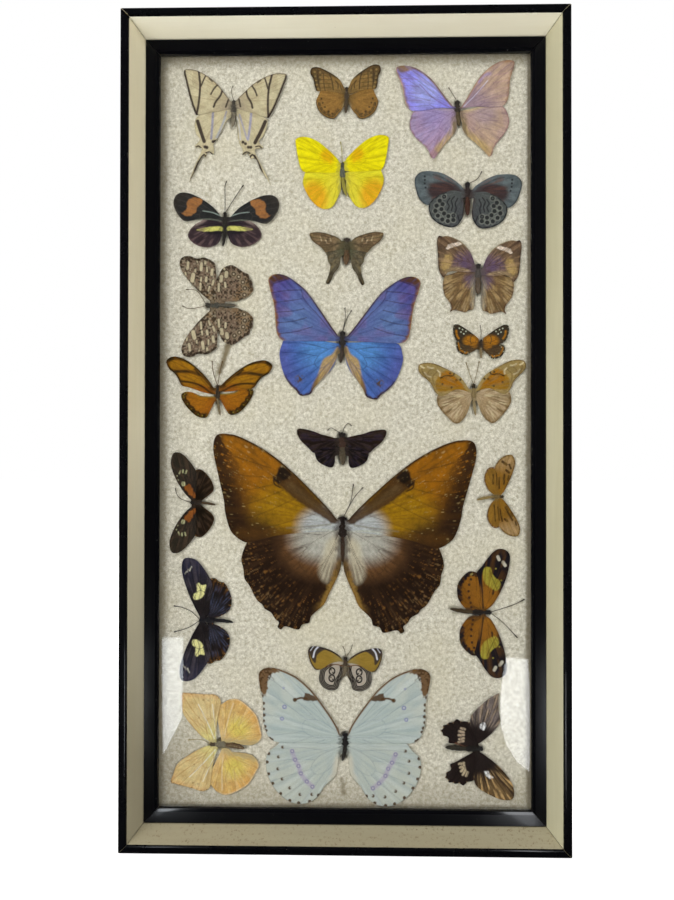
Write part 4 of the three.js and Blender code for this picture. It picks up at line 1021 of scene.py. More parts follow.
# Longwing: black with a yellow blotch, and violet-blue rays between the hindwing's veins.
def paint_blue_rayed(fore, hind):
    ink = "#1C1616"
    fore.begin(ink).wash("#29283D", (12.9, 4), (37.5, 14.4), 0.7)
    fore.patch("#E2DE95", (24, 5.1), (22.5, 3.2), (23.2, 0.2), (20.4, 0.3), (15.6, 2.4), (14, 4.5), (13, 7.6),
        (15.7, 8.9), (18.9, 6.3), (22.2, 6.5), rough=0.6)
    fore.stroke(ink, 0.5, (23.9, 6), (18.7, 3.7), (12.9, 5.3), share=0.75)
    fore.stroke(ink, 0.4, (23.9, 2.4), (19.4, 3.3), share=0.6)
    fore.stroke("#C9C5B2", 0.8, (32, 11), (34.5, 9.8))
    fore.stroke("#C9C5B2", 0.6, (30, 14), (31.5, 12.9), share=0.8)
    fore.stroke("#C9C5B2", 0.5, (31, 12.5), (32.9, 11.9), share=0.7)
    fore.rays("#5A5257", 0.35, 30, 0.3)
    hind.begin("#1B0F08")
    hind.glow("#2A282F", (9.1, -3.2), 2, 9.5, 0.9, (1, 0.75))
    hind.rays("#414A64", 0.85, 30, 0.12, 0.8, 5)
    hind.rays("#18100A", 0.9, 24, 0.15, 1.1)
    hind.rays("#714A1F", 0.5, 30, 0.75)
    hind.edge_spots("#BC8C4A", 0.3, 0.6, 3.0, 11, 14)
    hind.edge_spots("#926932", 0.25, 2.0, 3.4, 10.6, 11, share=0.7)
    for wing in (fore, hind):
        wing.veins("#0E0C10", 0.5, 0.7)


spread_butterfly(
    "blue_rayed_longwing", (-89.1, -377.7), 90, "right",
    [(2.4, 4.4), (7.8, 7.4), (20.3, 12.9), (33.5, 16.2), (39.8, 14.4), (39.2, 7.5), (33, 1.5), (22.2, -4),
        (11.5, -2.2), (4.3, -1.6), (1.9, 0.2)],
    [(2.5, -2.2), (11.5, -1), (19.8, -1.3), (26.4, -1.6), (27, -5.7), (24.9, -8.1), (24.3, -11.2),
        (21.1, -13.6), (13.3, -16.3), (6.7, -14.8), (2.2, -8.2), (1.3, -4.6)],
    body=(5, -17.8, 3.8, 2.2, -1.3), turned=((1.6, -0.5, 0.3), (5.7, 0.7, -0.1)),
    feelers=[[(5.4, 9.8), (8.1, 15.9), (9.1, 21.3)], [(-4.5, 11), (-6.3, 15.8), (-7.8, 21.2)]],
    paint=paint_blue_rayed, dust=0.25, fur_colours=("#141217", "#1B191C", "#1D1B1C", "#1D1B1F"), hairs=200,
)


# Large sulphur, faded to peach, its scales rubbed thin over pinkish folds.
def paint_peach(fore, hind):
    fore.begin("#CBB784").wash("#D2B97F", (18.7, 4), (29.5, 20.3), 0.7).cloud("#C1A46A", 5, 0.5)
    fore.wash("#CBC67A", (16.7, 8.5), (3.8, 1.4), 0.8)
    fore.border("#AA8554", 0.8, 1, fore.tip + 1, share=0.55)
    fore.border("#CB9F6A", 2.2, fore.tip - 1, fore.corner + 0.3, soft=1.6, share=0.6)
    fore.edge_spots("#6B5330", 0.4, 0.5, fore.tip, fore.corner + 0.3, 8)
    fore.spots("#80653E", 0.6, (17.2, 11.4), (28.6, 8.6), (28.3, 5.3), share=0.7)
    fore.stroke("#DBE0D6", 0.7, (3.8, 1.4), (14.1, 5.9), (25.7, 11.8), share=0.7)
    fore.stroke("#DBE0D6", 0.6, (3.9, 0.1), (15.5, 1.4), (25.8, 2.7), share=0.6)
    fore.stroke("#AA8C60", 0.6, (5.1, 2.7), (12.8, 10.5), (16.6, 17), share=0.6)
    hind.begin("#CFAF6C").wash("#CB9349", (14.3, -15.5), (20.8, -25.8), 0.75).cloud("#BE8E50", 5, 0.4)
    hind.glow("#CFC056", (10.4, -14.2), 2, 11, 0.75)
    hind.wash("#D2B582", (3.9, -10.3), (1.3, -3.8), 0.7)
    hind.spots("#8B5D37", 0.4, (19.5, -17.4), (14.3, -20.6), (20.7, -14.2), (10.5, -23.2), share=0.6)
    hind.stroke("#DBD1BD", 0.6, (5.2, -5.1), (16.8, -7.7), (26.5, -10.9), share=0.5)
    hind.border("#DECDAF", 0.8, 4, hind.end - 3, share=0.5)
    for wing in (fore, hind):
        wing.rays("#A8793E", 0.22, 30).rays("#DCCB9C", 0.25, 24, seed=8).veins("#A67E48", 0.45, 0.55)


spread_butterfly(
    "peach_sulphur", (-82.4, -457.7), 90, "right",
    [(1.8, 4.5), (4.6, 9), (9.5, 14), (20.5, 21.9), (27.3, 22.4), (32.8, 22.2), (32.8, 18), (32.1, 6.8),
        (32.1, 1.8), (30.7, -1), (28, -2.7), (23.5, -2.2), (12.4, 0), (5.2, 0)],
    [(2.4, -4.5), (13.6, -2.2), (23, -0.3), (26.3, -4.4), (28.8, -8.3), (29.4, -12.2), (28, -16.1), (22, -22.9),
        (18.1, -26), (8.8, -28.6), (4.9, -29.1), (1.5, -26.8), (-0.5, -22.3), (0.1, -15.6), (1.4, -10)],
    body=(4.6, -18.4, 5, 3.4, -2.6), turned=((17.9, 0.2, -1.7), (16.3, 0.8, -0.8)),
    feelers=[[(2.9, 10.1), (2.6, 18.4)]],
    paint=paint_peach, dust=0.14, fur_colours=("#4A3E30", "#6E6856", "#5A4630", "#A89A72"), hairs=420,
    hair_length=2.6, grain=0.4,
)


# Small fritillary: ochre orange latticed with dark brown.
def paint_small_fritillary(fore, hind):
    ink, tan = "#362C1F", "#967D4A"
    fore.begin("#856939").wash("#66512F", (9.1, 3.3), (0.7, -2.6), 0.7)
    fore.patch("#443826", (23.4, 16.1), (18.2, 16.7), (10.4, 13.4), (5.2, 8.5), (10.4, 10.8), (15.6, 12.1),
        (17.6, 6), (18.2, 1.4), (20.2, 1.4), (22.1, 8.6), soft=0.7, share=0.8)
    fore.border(ink, 0.9, 2, fore.tip + 1, share=0.8)
    fore.border(ink, 1.0, fore.tip, fore.corner + 0.3)
    fore.spots(tan, 0.75, (20.8, 13.4), (20.4, 10.7), (19.9, 8.1), (19.3, 5.3), (18.5, 2.6))
    fore.spots(tan, 0.7, (17.2, 13.1), (17.1, 10.2), (16.5, 7.5), (16.1, 4.6), share=0.8)
    fore.stroke(ink, 0.6, (18.6, 14.4), (18.8, 9.9), (17.8, 4.7), (17.1, 1.4))
    fore.stroke(ink, 0.6, (15.1, 12.8), (15, 8.5), (14.6, 4.6), (14, 1.1), share=0.8)
    fore.stroke(ink, 0.7, (11.1, 11.8), (9.8, 8.5), (9.1, 5.2), (8.7, 1.7))
    for height in (76.4, 80.4, 84.6, 89.0):
        fore.stroke(ink, 0.5, ((21.5, 8.6)[0], (21.5, 8.6)[1] + (80 - height) * 0.62),
            ((9.8, 8.5)[0], (9.8, 8.5)[1] + (80 - height) * 0.62), share=0.7)
    fore.stroke(ink, 0.7, (7.2, 7.5), (5.6, 5.2), (5.6, 2.7))
    fore.stroke(ink, 0.7, (4.3, 4.7), (3.2, 1.4), share=0.8)
    hind.begin("#8D6933").wash("#6C532A", (6.5, -5.8), (0.7, -3.9), 0.8)
    hind.border(ink, 0.5, 3, 8.2, soft=0.25)
    hind.scallops(ink, 0.4, 3, 8.2, 8, 0.5, offset=1.1)
    hind.scallops(ink, 0.35, 3, 8.2, 8, 0.45, offset=2.1, share=0.8)
    hind.edge_spots(tan, 0.38, 0.95, 3.3, 7.9, 8, share=0.8)
    hind.spots(ink, 0.6, (16.4, -3.9), (15.5, -6.6), (14.1, -9.4), (9.4, -13.6))
    hind.spots(ink, 0.85, (11.8, -12.4))
    hind.border("#8F876A", 1.2, 8.6, hind.end, soft=0.7, share=0.6)
    for wing in (fore, hind):
        wing.rays("#5E4220", 0.35, 24).veins("#5A4120", 0.4, 0.4)


spread_butterfly(
    "small_fritillary", (1.2, -35.9), 0, "left",
    [(1.4, 2.4), (3.9, 7.4), (6.7, 10.2), (14.2, 14.8), (18.1, 16.4), (20.9, 16.6), (22.8, 15.9), (23.6, 13.9),
        (23.2, 11.5), (21.8, 9.2), (20.6, 3.6), (19.6, 1.2), (18.4, 0.8), (16.1, 1.2), (8, 0.2), (1.2, -1.4)],
    [(0.8, -2.9), (16.1, 2.2), (17.7, -0.8), (19.9, -5.9), (18, -11.8), (14.1, -15.4), (8.2, -17), (5.4, -13.9),
        (3.9, -12.3), (0.6, -6.8)],
    body=(3.6, -13.8, 3.2, 2.4, -0.6), turned=((4.8, -0.3, -0.3), (0.7, 0.4, -0.3)),
    paint=paint_small_fritillary, dust=0.2, fur_colours=("#33291E", "#453A2C", "#4A3D2C", "#4E4028"),
    feelers=(), grain=0.32, hairs=240,
)


# Sulphur: clear lemon yellow, orange across the forewing's middle and the hindwing's foot.
def paint_yellow(fore, hind):
    fore.begin("#DFD100").wash("#E6DA04", (10.9, 13.8), (28.5, 19.1), 0.8)
    fore.patch("#D9A504", (12.2, 13.8), (8.3, 13.1), (6.1, 9.8), (7, 5), (11.6, 6), (14.2, 9.2), soft=2.0,
        rough=1.2)
    fore.border("#D6B519", 0.5, fore.tip - 2, fore.tip + 1, share=0.5)
    fore.edge_spots("#877108", 0.3, 0.35, fore.tip - 0.4, fore.corner + 0.3, 6, share=0.8)
    fore.veins("#B39F00", 0.5, 0.5)
    hind.begin("#DAD028").wash("#D3C340", (10.9, -0.5), (2.5, -4.5), 0.5)
    hind.glow("#DA9D17", (18.7, -17.4), 5, 11, 0.9, (0.9, 0.75))
    hind.border("#D7D289", 0.9, 9.5, hind.end, soft=0.8, share=0.6)
    hind.edge_spots("#AE7E30", 0.3, 0.4, 2.6, 6.6, 7, share=0.6)
    hind.veins("#B4A31A", 0.5, 0.5)
    for wing in (fore, hind):
        wing.rays("#A89200", 0.4, 22)


spread_butterfly(
    "yellow_sulphur", (-1.5, -86.7), 0, "left",
    [(1.6, 5.1), (4, 8.5), (11.6, 15.7), (16.4, 19.3), (21.2, 21.5), (25.9, 22.2), (29, 21.5), (30.5, 20.1),
        (30.2, 16.3), (27.3, 2.4), (25.4, -0.4), (21.1, -0.7), (8.3, -1.3), (2.6, -1.1)],
    [(1.6, -2.5), (22.6, 0.6), (25, -3.8), (25.7, -7.6), (24.4, -11.9), (19.7, -19.6), (13, -24.6),
        (7.3, -23.9), (2.6, -16.8), (0.9, -12), (1.2, -6.3)],
    body=(5.6, -16.8, 4.2, 2.4, 2.7), turned=((0.6, -0.3, 0.6), (4.1, 0.7, -0.2)),
    feelers=[[(-0.5, 13.2), (-1.2, 18.7)]],
    paint=paint_yellow, dust=0.08, fur_colours=("#45433A", "#55564C", "#8E8438", "#9A9240"), hairs=260,
    hair_length=2.0, grain=0.38,
)


# Small morpho: one side still glowing periwinkle, the other rubbed to a pinkish brown.
def paint_violet(fore, hind):
    if fore.other:
        fore.begin("#B59A83").wash("#8F7A89", (24.7, 15.4), (12, 5.1), 0.85)
        fore.stroke("#8377BA", 2.2, (15.8, 16.4), (19.4, 19.9), (23.3, 20.5), soft=1.2, share=0.6)
        fore.border("#8A6B50", 1.3, fore.tip - 0.5, fore.corner + 0.3, soft=0.6, share=0.7, rough=1)
        fore.border("#9D7A58", 0.9, 0, fore.tip, share=0.8)
        fore.border("#A27A54", 1.8, fore.tip - 2, fore.tip + 0.5, soft=0.8, share=0.6)
        fore.stroke("#CCCDE6", 0.5, (4.5, 1.3), (13, 8.2), (21.6, 16.4), share=0.7)
    else:
        fore.begin("#9895F2").glow("#AEB6F2", (20.5, 11.2), 4, 15, 0.8)
        fore.wash("#9783F2", (27, 6.1), (36, 0.9), 0.6)
        fore.shine(0.5)
        fore.border("#8A6C50", 1.2, 0, fore.tip + 0.5, soft=0.6)
        fore.border("#967F92", 1.5, fore.tip, fore.corner + 0.3, soft=0.8, rough=1)
        fore.border("#D5AF84", 0.5, fore.tip, fore.corner + 0.3, share=0.8)
        fore.patch("#92734E", (39.3, 27.6), (34.7, 28), (28.3, 26), (32.1, 24.4), (36.7, 23.7), soft=0.9)
        fore.stroke("#7A568D", 0.7, (24.4, 15.8), (15.3, 6.6), (5, 0.7), share=0.65)
    for start, end in (
        ((35.4, 19.8), (25.7, 19.1)), ((34.7, 15.2), (25, 14.5)), ((34.1, 10.3), (23.7, 9.9)),
        ((32.8, 5.5), (23.1, 5.4)),
    ):
        fore.stroke("#8865A0" if not fore.other else "#AB8789", 0.6, start, end, share=0.55)
    hind.begin("#AC93B4" if not fore.other else "#BEA28A")
    hind.cloud("#9D8CAA" if not fore.other else "#B19590", 6, 0.6)
    hind.glow("#9D8EC2" if not fore.other else "#AC979C", (16, -4.4), 3, 12, 0.7)
    hind.shine(0.3)
    hind.wash("#AC827B" if not fore.other else "#C5A66F", (20.5, -18.7), (15.3, -31), 0.75)
    hind.border("#CDBA88" if fore.other else "#AC9BA8", 1.6, 0, 3, soft=0.8, share=0.6)
    hind.border("#987273", 0.8, 3, 11, share=0.7, rough=0.8)
    hind.border("#BFA56A", 3.6, 12.2, hind.end, soft=1.3, share=0.8)
    for wing in (fore, hind):
        wing.rays("#6A5068", 0.3, 22).rays("#A9A0D0" if not fore.other else "#B8A090", 0.3, 26, 0.3, 1.1, 8)
        wing.veins("#6A5068", 0.45, 0.4)


spread_butterfly(
    "violet_morpho", (72.8, -46.9), 0, "left",
    [(2.8, 1.3), (6.6, 5.9), (15.8, 18.1), (21, 22.8), (26.7, 26.3), (32, 27.9), (36.6, 27.9), (39.5, 26.8),
        (39.7, 24.7), (36, 15.4), (33.7, 4.3), (32, 0.9), (29.1, -1.2), (23.3, -1.3), (11.7, 0.4), (3.7, 0.1)],
    [(2.5, -1.7), (9.5, -1), (17.6, 0.4), (24.5, -0.1), (29.1, -3.2), (30.8, -10.8), (29.6, -14.8),
        (26.1, -19.5), (22.1, -23), (18.6, -27.1), (17, -31.1), (15.2, -32.3), (12.9, -29.4), (9.5, -24.8),
        (0.8, -13.9), (0.3, -8)],
    body=(5.4, -11.7, 4.4, 2.8, 1.3), turned=((5.9, -0.3, -0.5), (7.6, 1.3, -1.2)),
    feelers=[[(-3.7, 10.5), (-5.7, 13.7)]],
    paint=paint_violet, dust=0.14, fur_colours=("#2E2822", "#332C24", "#544630", "#5E5240"), grain=0.42,
    hairs=200,
)


# Underwing lying over the forewing: slate blue, the hindwing netted with black spots and lines.
def paint_slate(fore, hind):
    ink = "#1A1A1C"
    fore.begin("#596264").glow("#382929", (16.7, 1.4), 5.5, 9.5, 0.95, (0.8, 1.25))
    fore.wash("#382929", (17.3, 6.6), (7.6, -1.2), 0.8)
    fore.border("#5C6669", 1.5, 0, fore.tip - 0.5, soft=1.0)
    fore.stroke("#323235", 0.5, (22.5, 12.1), (14.7, 9.2), (7.6, 4), share=0.7)
    fore.rays("#6A4133", 0.5, 24, 0.25, 0.7)
    fore.spots("#1C1C1F", 0.65, (27.6, 10.7), (27.6, 8.4), (27.6, 6.1), (27.1, 3.5))
    fore.border("#323638", 0.7, fore.tip - 1, fore.corner + 0.3, share=0.7)
    hind.begin("#4F5250").wash("#404044", (13.4, -6.4), (4.4, -12.3), 0.6)
    outer = [(15.1, -2.5), (18, -5.1), (20, -8.3), (20.8, -11.7), (19.2, -14.8), (16.3, -17.3), (12.8, -18.3),
        (9.2, -17.7)]
    inner = [(16.1, -7.4), (16.9, -10.6), (15.2, -13.4), (12.4, -15.2), (9.2, -14.8)]
    hind.spots("#767870", 2.0, *outer, *inner)
    hind.spots(ink, 1.4, *outer, *inner)
    hind.spots("#575A57", 0.55, outer[0], inner[-1])
    hind.scallops(ink, 0.35, 2, 8.5, 11, 0.6)
    for marks in (
        ((11.5, -3.5), (13.1, -6.1), (11.9, -8.7), (13.1, -11.2)),
        ((8.5, -2.5), (10.5, -5.1), (9.7, -8.3), (10.5, -11.6)),
        ((6.4, -3.8), (8, -7.1), (7.3, -10.3), (8.3, -13.2)),
    ):
        hind.stroke(ink, 0.75, *marks)
    hind.stroke(ink, 0.7, (6.4, -14.8), (5.4, -18.1))
    for wing in (fore, hind):
        wing.rays("#2A2E30", 0.3, 20)


spread_butterfly(
    "spotted_slate", (79.3, -101.4), 0, "left",
    [(2.3, 2.3), (4.9, 5.4), (14.1, 11.7), (19.3, 13.5), (29.6, 13.7), (33.9, 9.7), (32.6, -0.2), (30.6, -4.3),
        (28, -6.9), (25.5, -7.9)],
    [(4.9, 0.7), (9, 1.5), (13.1, 0.8), (20.8, -2.8), (25, -7.9), (23.4, -15.7), (16.7, -20.9), (8, -22),
        (2.8, -15.3), (2.8, -3.4)],
    body=(7.2, -15.2, 4.6, 3.4, 0), turned=((-4.5, 0.3, -0.3), (-4.3, 1.2, -0.2)),
    feelers=[[(6.4, 9), (9.2, 13.8)]],
    paint=paint_slate, dust=0.18, fur_colours=("#221E1E", "#2E2422", "#42291F", "#3A2C28"), hind_over=True,
    hairs=160, grain=0.34,
)


# Tailed skipper: olive brown, a thick furry body and greenish fur over the hindwings' bases.
def paint_tailed_skipper(fore, hind):
    fore.begin("#796348").wash("#655036", (15.7, 4), (23.5, 7.9), 0.7).wash("#6D654B", (10.5, 2), (3.4, 0), 0.7)
    for start, end in (((17.1, 5.7), (16.4, 3.3)), ((13.9, 4.3), (13.1, 2)), ((10.8, 4.9), (10.2, 3))):
        fore.stroke("#C6B390", 0.7, start, end, share=0.75)
    fore.border("#51402A", 0.6, 0, fore.tip + 2, share=0.6)
    hind.begin("#585140").wash("#50543F", (7.9, -6.4), (3.4, -2.6), 0.85)
    hind.wash("#352D22", (10.5, -14.2), (13.1, -24.6), 0.9)
    hind.border("#7C7860", 0.5, 1, 6, share=0.4)
    for wing in (fore, hind):
        wing.rays("#7A6A48", 0.55, 24).veins("#33291D", 0.45, 0.6).cloud("#3A301F", 2.0, 0.5)


spread_butterfly(
    "tailed_skipper", (1.4, -135.4), 0, "left",
    [(3.3, 3.1), (5.6, 5.1), (9.6, 6.9), (18.6, 8.9), (24.1, 7.8), (22.2, 3.2), (17.4, -0.4), (15.5, -2.3),
        (13.9, -4.3)],
    [(3.3, -2.8), (13.9, -2.9), (12.7, -6.7), (12.1, -10.2), (10.7, -12.6), (11.9, -19.2), (13.5, -24),
        (11.9, -24.7), (8, -17.7), (5.6, -14.6), (4.5, -11.8), (3.7, -6.7)],
    body=(5.2, -12.6, 5.6, 4.2, -0.7), turned=((0.6, -0.4, -0.2), (-2.9, -0.9, -0.1)),
    paint=paint_tailed_skipper, dust=0.3, fur_colours=("#38302A", "#48422E", "#5B452F", "#4E4A34"), feelers=(),
    grain=0.34, hairs=420, hair_length=2.4,
)


# Morpho: shining blue, brown at the tip and along the costa, its scales worn through in places.
def paint_blue_morpho(fore, hind):
    fore.begin("#6676AD").wash("#544591", (29.8, 18.9), (45.4, 26.7), 0.8)
    fore.wash("#5D6A9A", (15.5, 10.4), (2.6, 3.3), 0.7)
    fore.glow("#6E91C2", (29.8, 12.4), 4, 15, 0.5)
    fore.cloud("#83689C", 6, 0.45, 0.5, 0.8, 7)
    fore.shine(0.6)
    fore.border("#4D3634", 1.0, 0, fore.tip + 0.5, soft=0.6)
    fore.border("#664229", 1.9, fore.tip - 1.6, fore.tip + 0.4, soft=0.9)
    fore.patch("#5C3C22", (47.8, 38.4), (47.4, 41.4), (44.8, 43), (40.2, 42.7), (34.4, 40.1), (39.6, 39.3),
        (43.7, 38), (46.1, 33.9), soft=1.0)
    fore.border("#815743", 1.6, fore.tip, fore.corner + 0.3, soft=0.9, rough=1.4)
    fore.border("#BB8C4C", 0.5, fore.tip - 1.5, fore.corner + 0.3, soft=0.25, share=0.8)
    fore.spots("#EDEDD5", 0.9, (20.8, 30.2), soft=0.6, share=0.7)
    for start, mid, end in (
        ((34.4, 40.6), (39.6, 38.8), (45, 37.1)), ((26.4, 33), (36.3, 32.7), (46.1, 31.3)),
        ((26.2, 27.3), (35, 26), (44.1, 25)), ((24.9, 20.8), (33.7, 19.2), (43.4, 18.7)),
        ((23.3, 15), (32.4, 12.7), (42.1, 11.8)), ((19.4, 9.1), (29.8, 6.2), (40.8, 4.6)),
    ):
        fore.stroke("#3E2F3D", 0.6, start, mid, end, share=0.75)
    fore.stroke("#3E2F3D", 0.6, (3.9, 2), (15.5, 16.3), (25, 27.3), (26.9, 33.8), share=0.6)
    hind.begin("#5577C1").glow("#68A8ED", (15.5, -7.1), 4, 17, 0.85)
    hind.wash("#686ABB", (27.2, -13.5), (38.8, -16.1), 0.7)
    hind.shine(0.75)
    hind.border("#514040", 1.1, 4, 9.4, soft=0.6, rough=1.0)
    hind.scallops("#513A2B", 0.5, 5.5, 9.2, 6, 1.0)
    hind.cloud("#715A45", 1.3, 0.0)
    splotch = 1 - ramp(np.hypot(*(hind.flat - (27.8, -24.6)).T), 1.5, 4.0)
    hind.lay("#715839", splotch * ramp(mottle(hind.flat, 0.9, 6), 0.35, 0.6) * 0.95)
    hind.patch("#D5B165", (3.2, -3.9), (6.6, -8.4), (12.3, -11.9), (15.5, -20.6), (19.2, -30.4), (12.2, -24.3),
        (4.5, -12.9), (1.3, -6.4), soft=0.8)
    hind.patch("#8A693B", (16.8, -23.9), (15.5, -21.3), (16.8, -30.4), (20, -32.3), (19.6, -28.5), soft=0.7,
        share=0.8)
    hind.veins("#39406C", 0.5, 0.55)
    for wing in (fore, hind):
        wing.rays("#2A3478", 0.3, 30).rays("#6F86CC", 0.16, 34, 0.3, 1.1, 8)


spread_butterfly(
    "blue_morpho", (-1.3, -197), 0, "left",
    [(2.5, 2.9), (6.7, 8.5), (12.4, 16.9), (23, 31.8), (29.3, 37.4), (35.6, 41.7), (41.3, 43.4), (45.8, 42.7),
        (48, 40.3), (47.6, 36.1), (44.4, 23.4), (43, 8.6), (41.9, 3.6), (39.5, 0.8), (33.4, -0.2)],
    [(2.9, -4.1), (36.3, 1.3), (39.8, -4.1), (40.8, -9), (37.6, -22.4), (34.1, -28), (29.9, -32.2),
        (27.4, -35.3), (20.7, -34.3), (18.7, -30.8), (13.8, -25.2), (8.1, -19.6), (4.6, -14), (2.9, -8.4)],
    body=(6.6, -14.6, 5.2, 3, -1.3), turned=((-2.9, 0.3, 0.2), (-8.3, -0.2, 1)),
    feelers=[[(1.7, 14.8), (1.5, 21.5)], [(3, 14.9), (5.9, 19.8)]],
    paint=paint_blue_morpho, dust=0.16, fur_colours=("#262220", "#2C2826", "#3A3026", "#3A3430"), grain=0.42,
    hairs=220, tuck=2.6,
)


# Leafwing: brown glossed with purple at the base, and pale streaks towards the hooked tips.
def paint_leafwing(fore, hind):
    fore.begin("#67533E").glow("#5F4B67", (5.4, 3.9), 5, 13, 0.9, (0.8, 1))
    fore.wash("#4C3930", (19.6, 9.8), (25.4, 21.5), 0.85)
    fore.patch("#EDDECC", (20.5, 15.2), (19, 16.9), (14.4, 18.1), (12, 18.7), (10.4, 17.9), (11.9, 16.4),
        (16.1, 15.2), (20, 14.1), rough=1.2)
    fore.spots("#4C3930", 1.0, (12.5, 14), (9.9, 13), soft=0.5, share=0.8)
    fore.patch("#B99C61", (20.9, 9.8), (17.9, 11.1), (16.4, 7.2), (18.3, 2), (22.2, -0.6), (24.1, 2.7),
        soft=1.2, share=0.8, rough=1.2)
    fore.patch("#B49C71", (18.9, 1.7), (9.9, 2), (4.8, -0.3), (13.8, -0.9), (21.5, -1.9), soft=0.9, share=0.8)
    fore.shine(0.25)
    fore.border("#B9A983", 0.5, 1, fore.tip - 1, share=0.6)
    fore.border("#3C2F28", 0.8, fore.tip - 1, fore.corner + 0.3, share=0.8)
    fore.rays("#A08363", 0.5, 22, 0.3)
    hind.begin("#6F5736").glow("#59475A", (4.8, -6.4), 2.5, 7, 0.9)
    hind.wash("#59432A", (14.4, -15.5), (18.9, -25.1), 0.75)
    hind.border("#4F3928", 0.9, 3, 12, share=0.8)
    hind.border("#908875", 3.0, 12.6, hind.end, soft=1.3)
    hind.rays("#A3895C", 0.7, 22, 0.3, 0.95).rays("#BBA47B", 0.5, 30, 0.6, 1.1, 8)
    for wing in (fore, hind):
        wing.veins("#3A291D", 0.45, 0.5).cloud("#5E4630", 2.2, 0.35)


spread_butterfly(
    "purple_leafwing", (86.1, -151.9), 0, "left",
    [(1.9, 3.8), (5.3, 12.4), (11.4, 19), (19.6, 22.5), (23.1, 22.3), (25.2, 22.7), (26.3, 20.7), (26, 11.2),
        (25.2, 0.4), (22, -4.4), (20, -1.4), (16.5, -0.3), (9.7, -0.9), (3.6, -1)],
    [(3.6, 0.5), (9.7, 0.1), (14.4, -1.8), (18.7, -3.1), (21.3, -3.7), (22.6, -7.9), (21.7, -15.2),
        (17.8, -21.3), (17.2, -23.9), (18.1, -26.5), (15.7, -25.2), (8.4, -26.7), (5.8, -25.5), (3.2, -24.8),
        (1.9, -20), (1.9, -7)],
    body=(4.6, -15.5, 5, 3.8, 0), turned=((-2.5, 0.6, -2.1), (-1.8, 0.6, -0.8)),
    paint=paint_leafwing, dust=0.24, fur_colours=("#2E2826", "#4A4440", "#57493A", "#5A5450"), feelers=(),
    hairs=260, hair_length=2.0, grain=0.36,
)


# Small crescent: orange at heart, brown-black outside and checkered with white.
def paint_crescent(fore, hind):
    ink, orange = "#362E22", "#9E6713"
    fore.begin(ink).glow(orange, (6.6, 2), 2.8, 5.2, 0.95, (0.8, 1.1))
    fore.stroke(orange, 1.2, (15.9, 8.5), (15.6, 5.9), (14.3, 3.6), soft=0.4)
    fore.spots("#C9CEB5", 0.42, (11.9, 9.3), (9.7, 8.1), (12.9, 7.7), (11.1, 6.5), (13.9, 10.1))
    fore.stroke(ink, 0.5, (5.6, 5.9), (6.9, 3.3), (6.4, 0.1))
    fore.stroke(ink, 0.4, (3.1, 3.3), (3.7, 0.7), share=0.7)
    fore.edge_spots("#B1B098", 0.22, 0.4, fore.tip - 0.6, fore.corner + 0.3, 7, share=0.8)
    hind.begin("#4C3A23").glow(orange, (4.7, 0), 1.2, 3.6, 0.8)
    hind.scallops(orange, 0.5, 2.5, 8, 6, 0.6, offset=1.2, share=0.8)
    hind.scallops(ink, 0.5, 2.5, 8, 6, 0.4)
    hind.edge_spots("#CDD8B9", 0.24, 0.5, 3.2, 7.5, 7)
    hind.edge_spots("#CDD8B9", 0.24, 2.6, 3.2, 7.5, 6)
    hind.spots(ink, 0.4, (12.4, -2.2), (10.5, -4), (7.9, -4.2), (5.3, -2.9))
    hind.stroke(ink, 0.4, (13, -0.3), (9.2, -1.8), (4.7, -1.5), share=0.7)
    for wing in (fore, hind):
        wing.veins("#2A1E15", 0.35, 0.5)


spread_butterfly(
    "checkered_crescent", (87.9, -199.1), 0, "left",
    [(1.3, 1.6), (1.6, 3.2), (4.9, 6.2), (12.8, 11.6), (15.4, 12.7), (17.4, 12.2), (17.9, 7.6), (15.8, 2),
        (11.1, -0.4), (6.2, -1), (2.3, -0.7)],
    [(1.6, -1.7), (6.2, 0.6), (11.1, 1.9), (14.4, 2.6), (15.8, 1.9), (15.1, -4), (11.5, -7), (9.5, -7.5),
        (7.5, -6.3), (3, -3.7)],
    body=(3, -9.4, 2.6, 1.9, 0), turned=((-1.6, -0.3, 0.2), (-15.4, -0.1, 0.1)),
    feelers=[[(0, 8.8), (-0.6, 12.1)]],
    paint=paint_crescent, dust=0.22, fur_colours=("#2E2620", "#382C20", "#7A6A4C", "#4A3A28"), grain=0.28,
    hairs=80, hair_length=1.0, club=0.32,
)


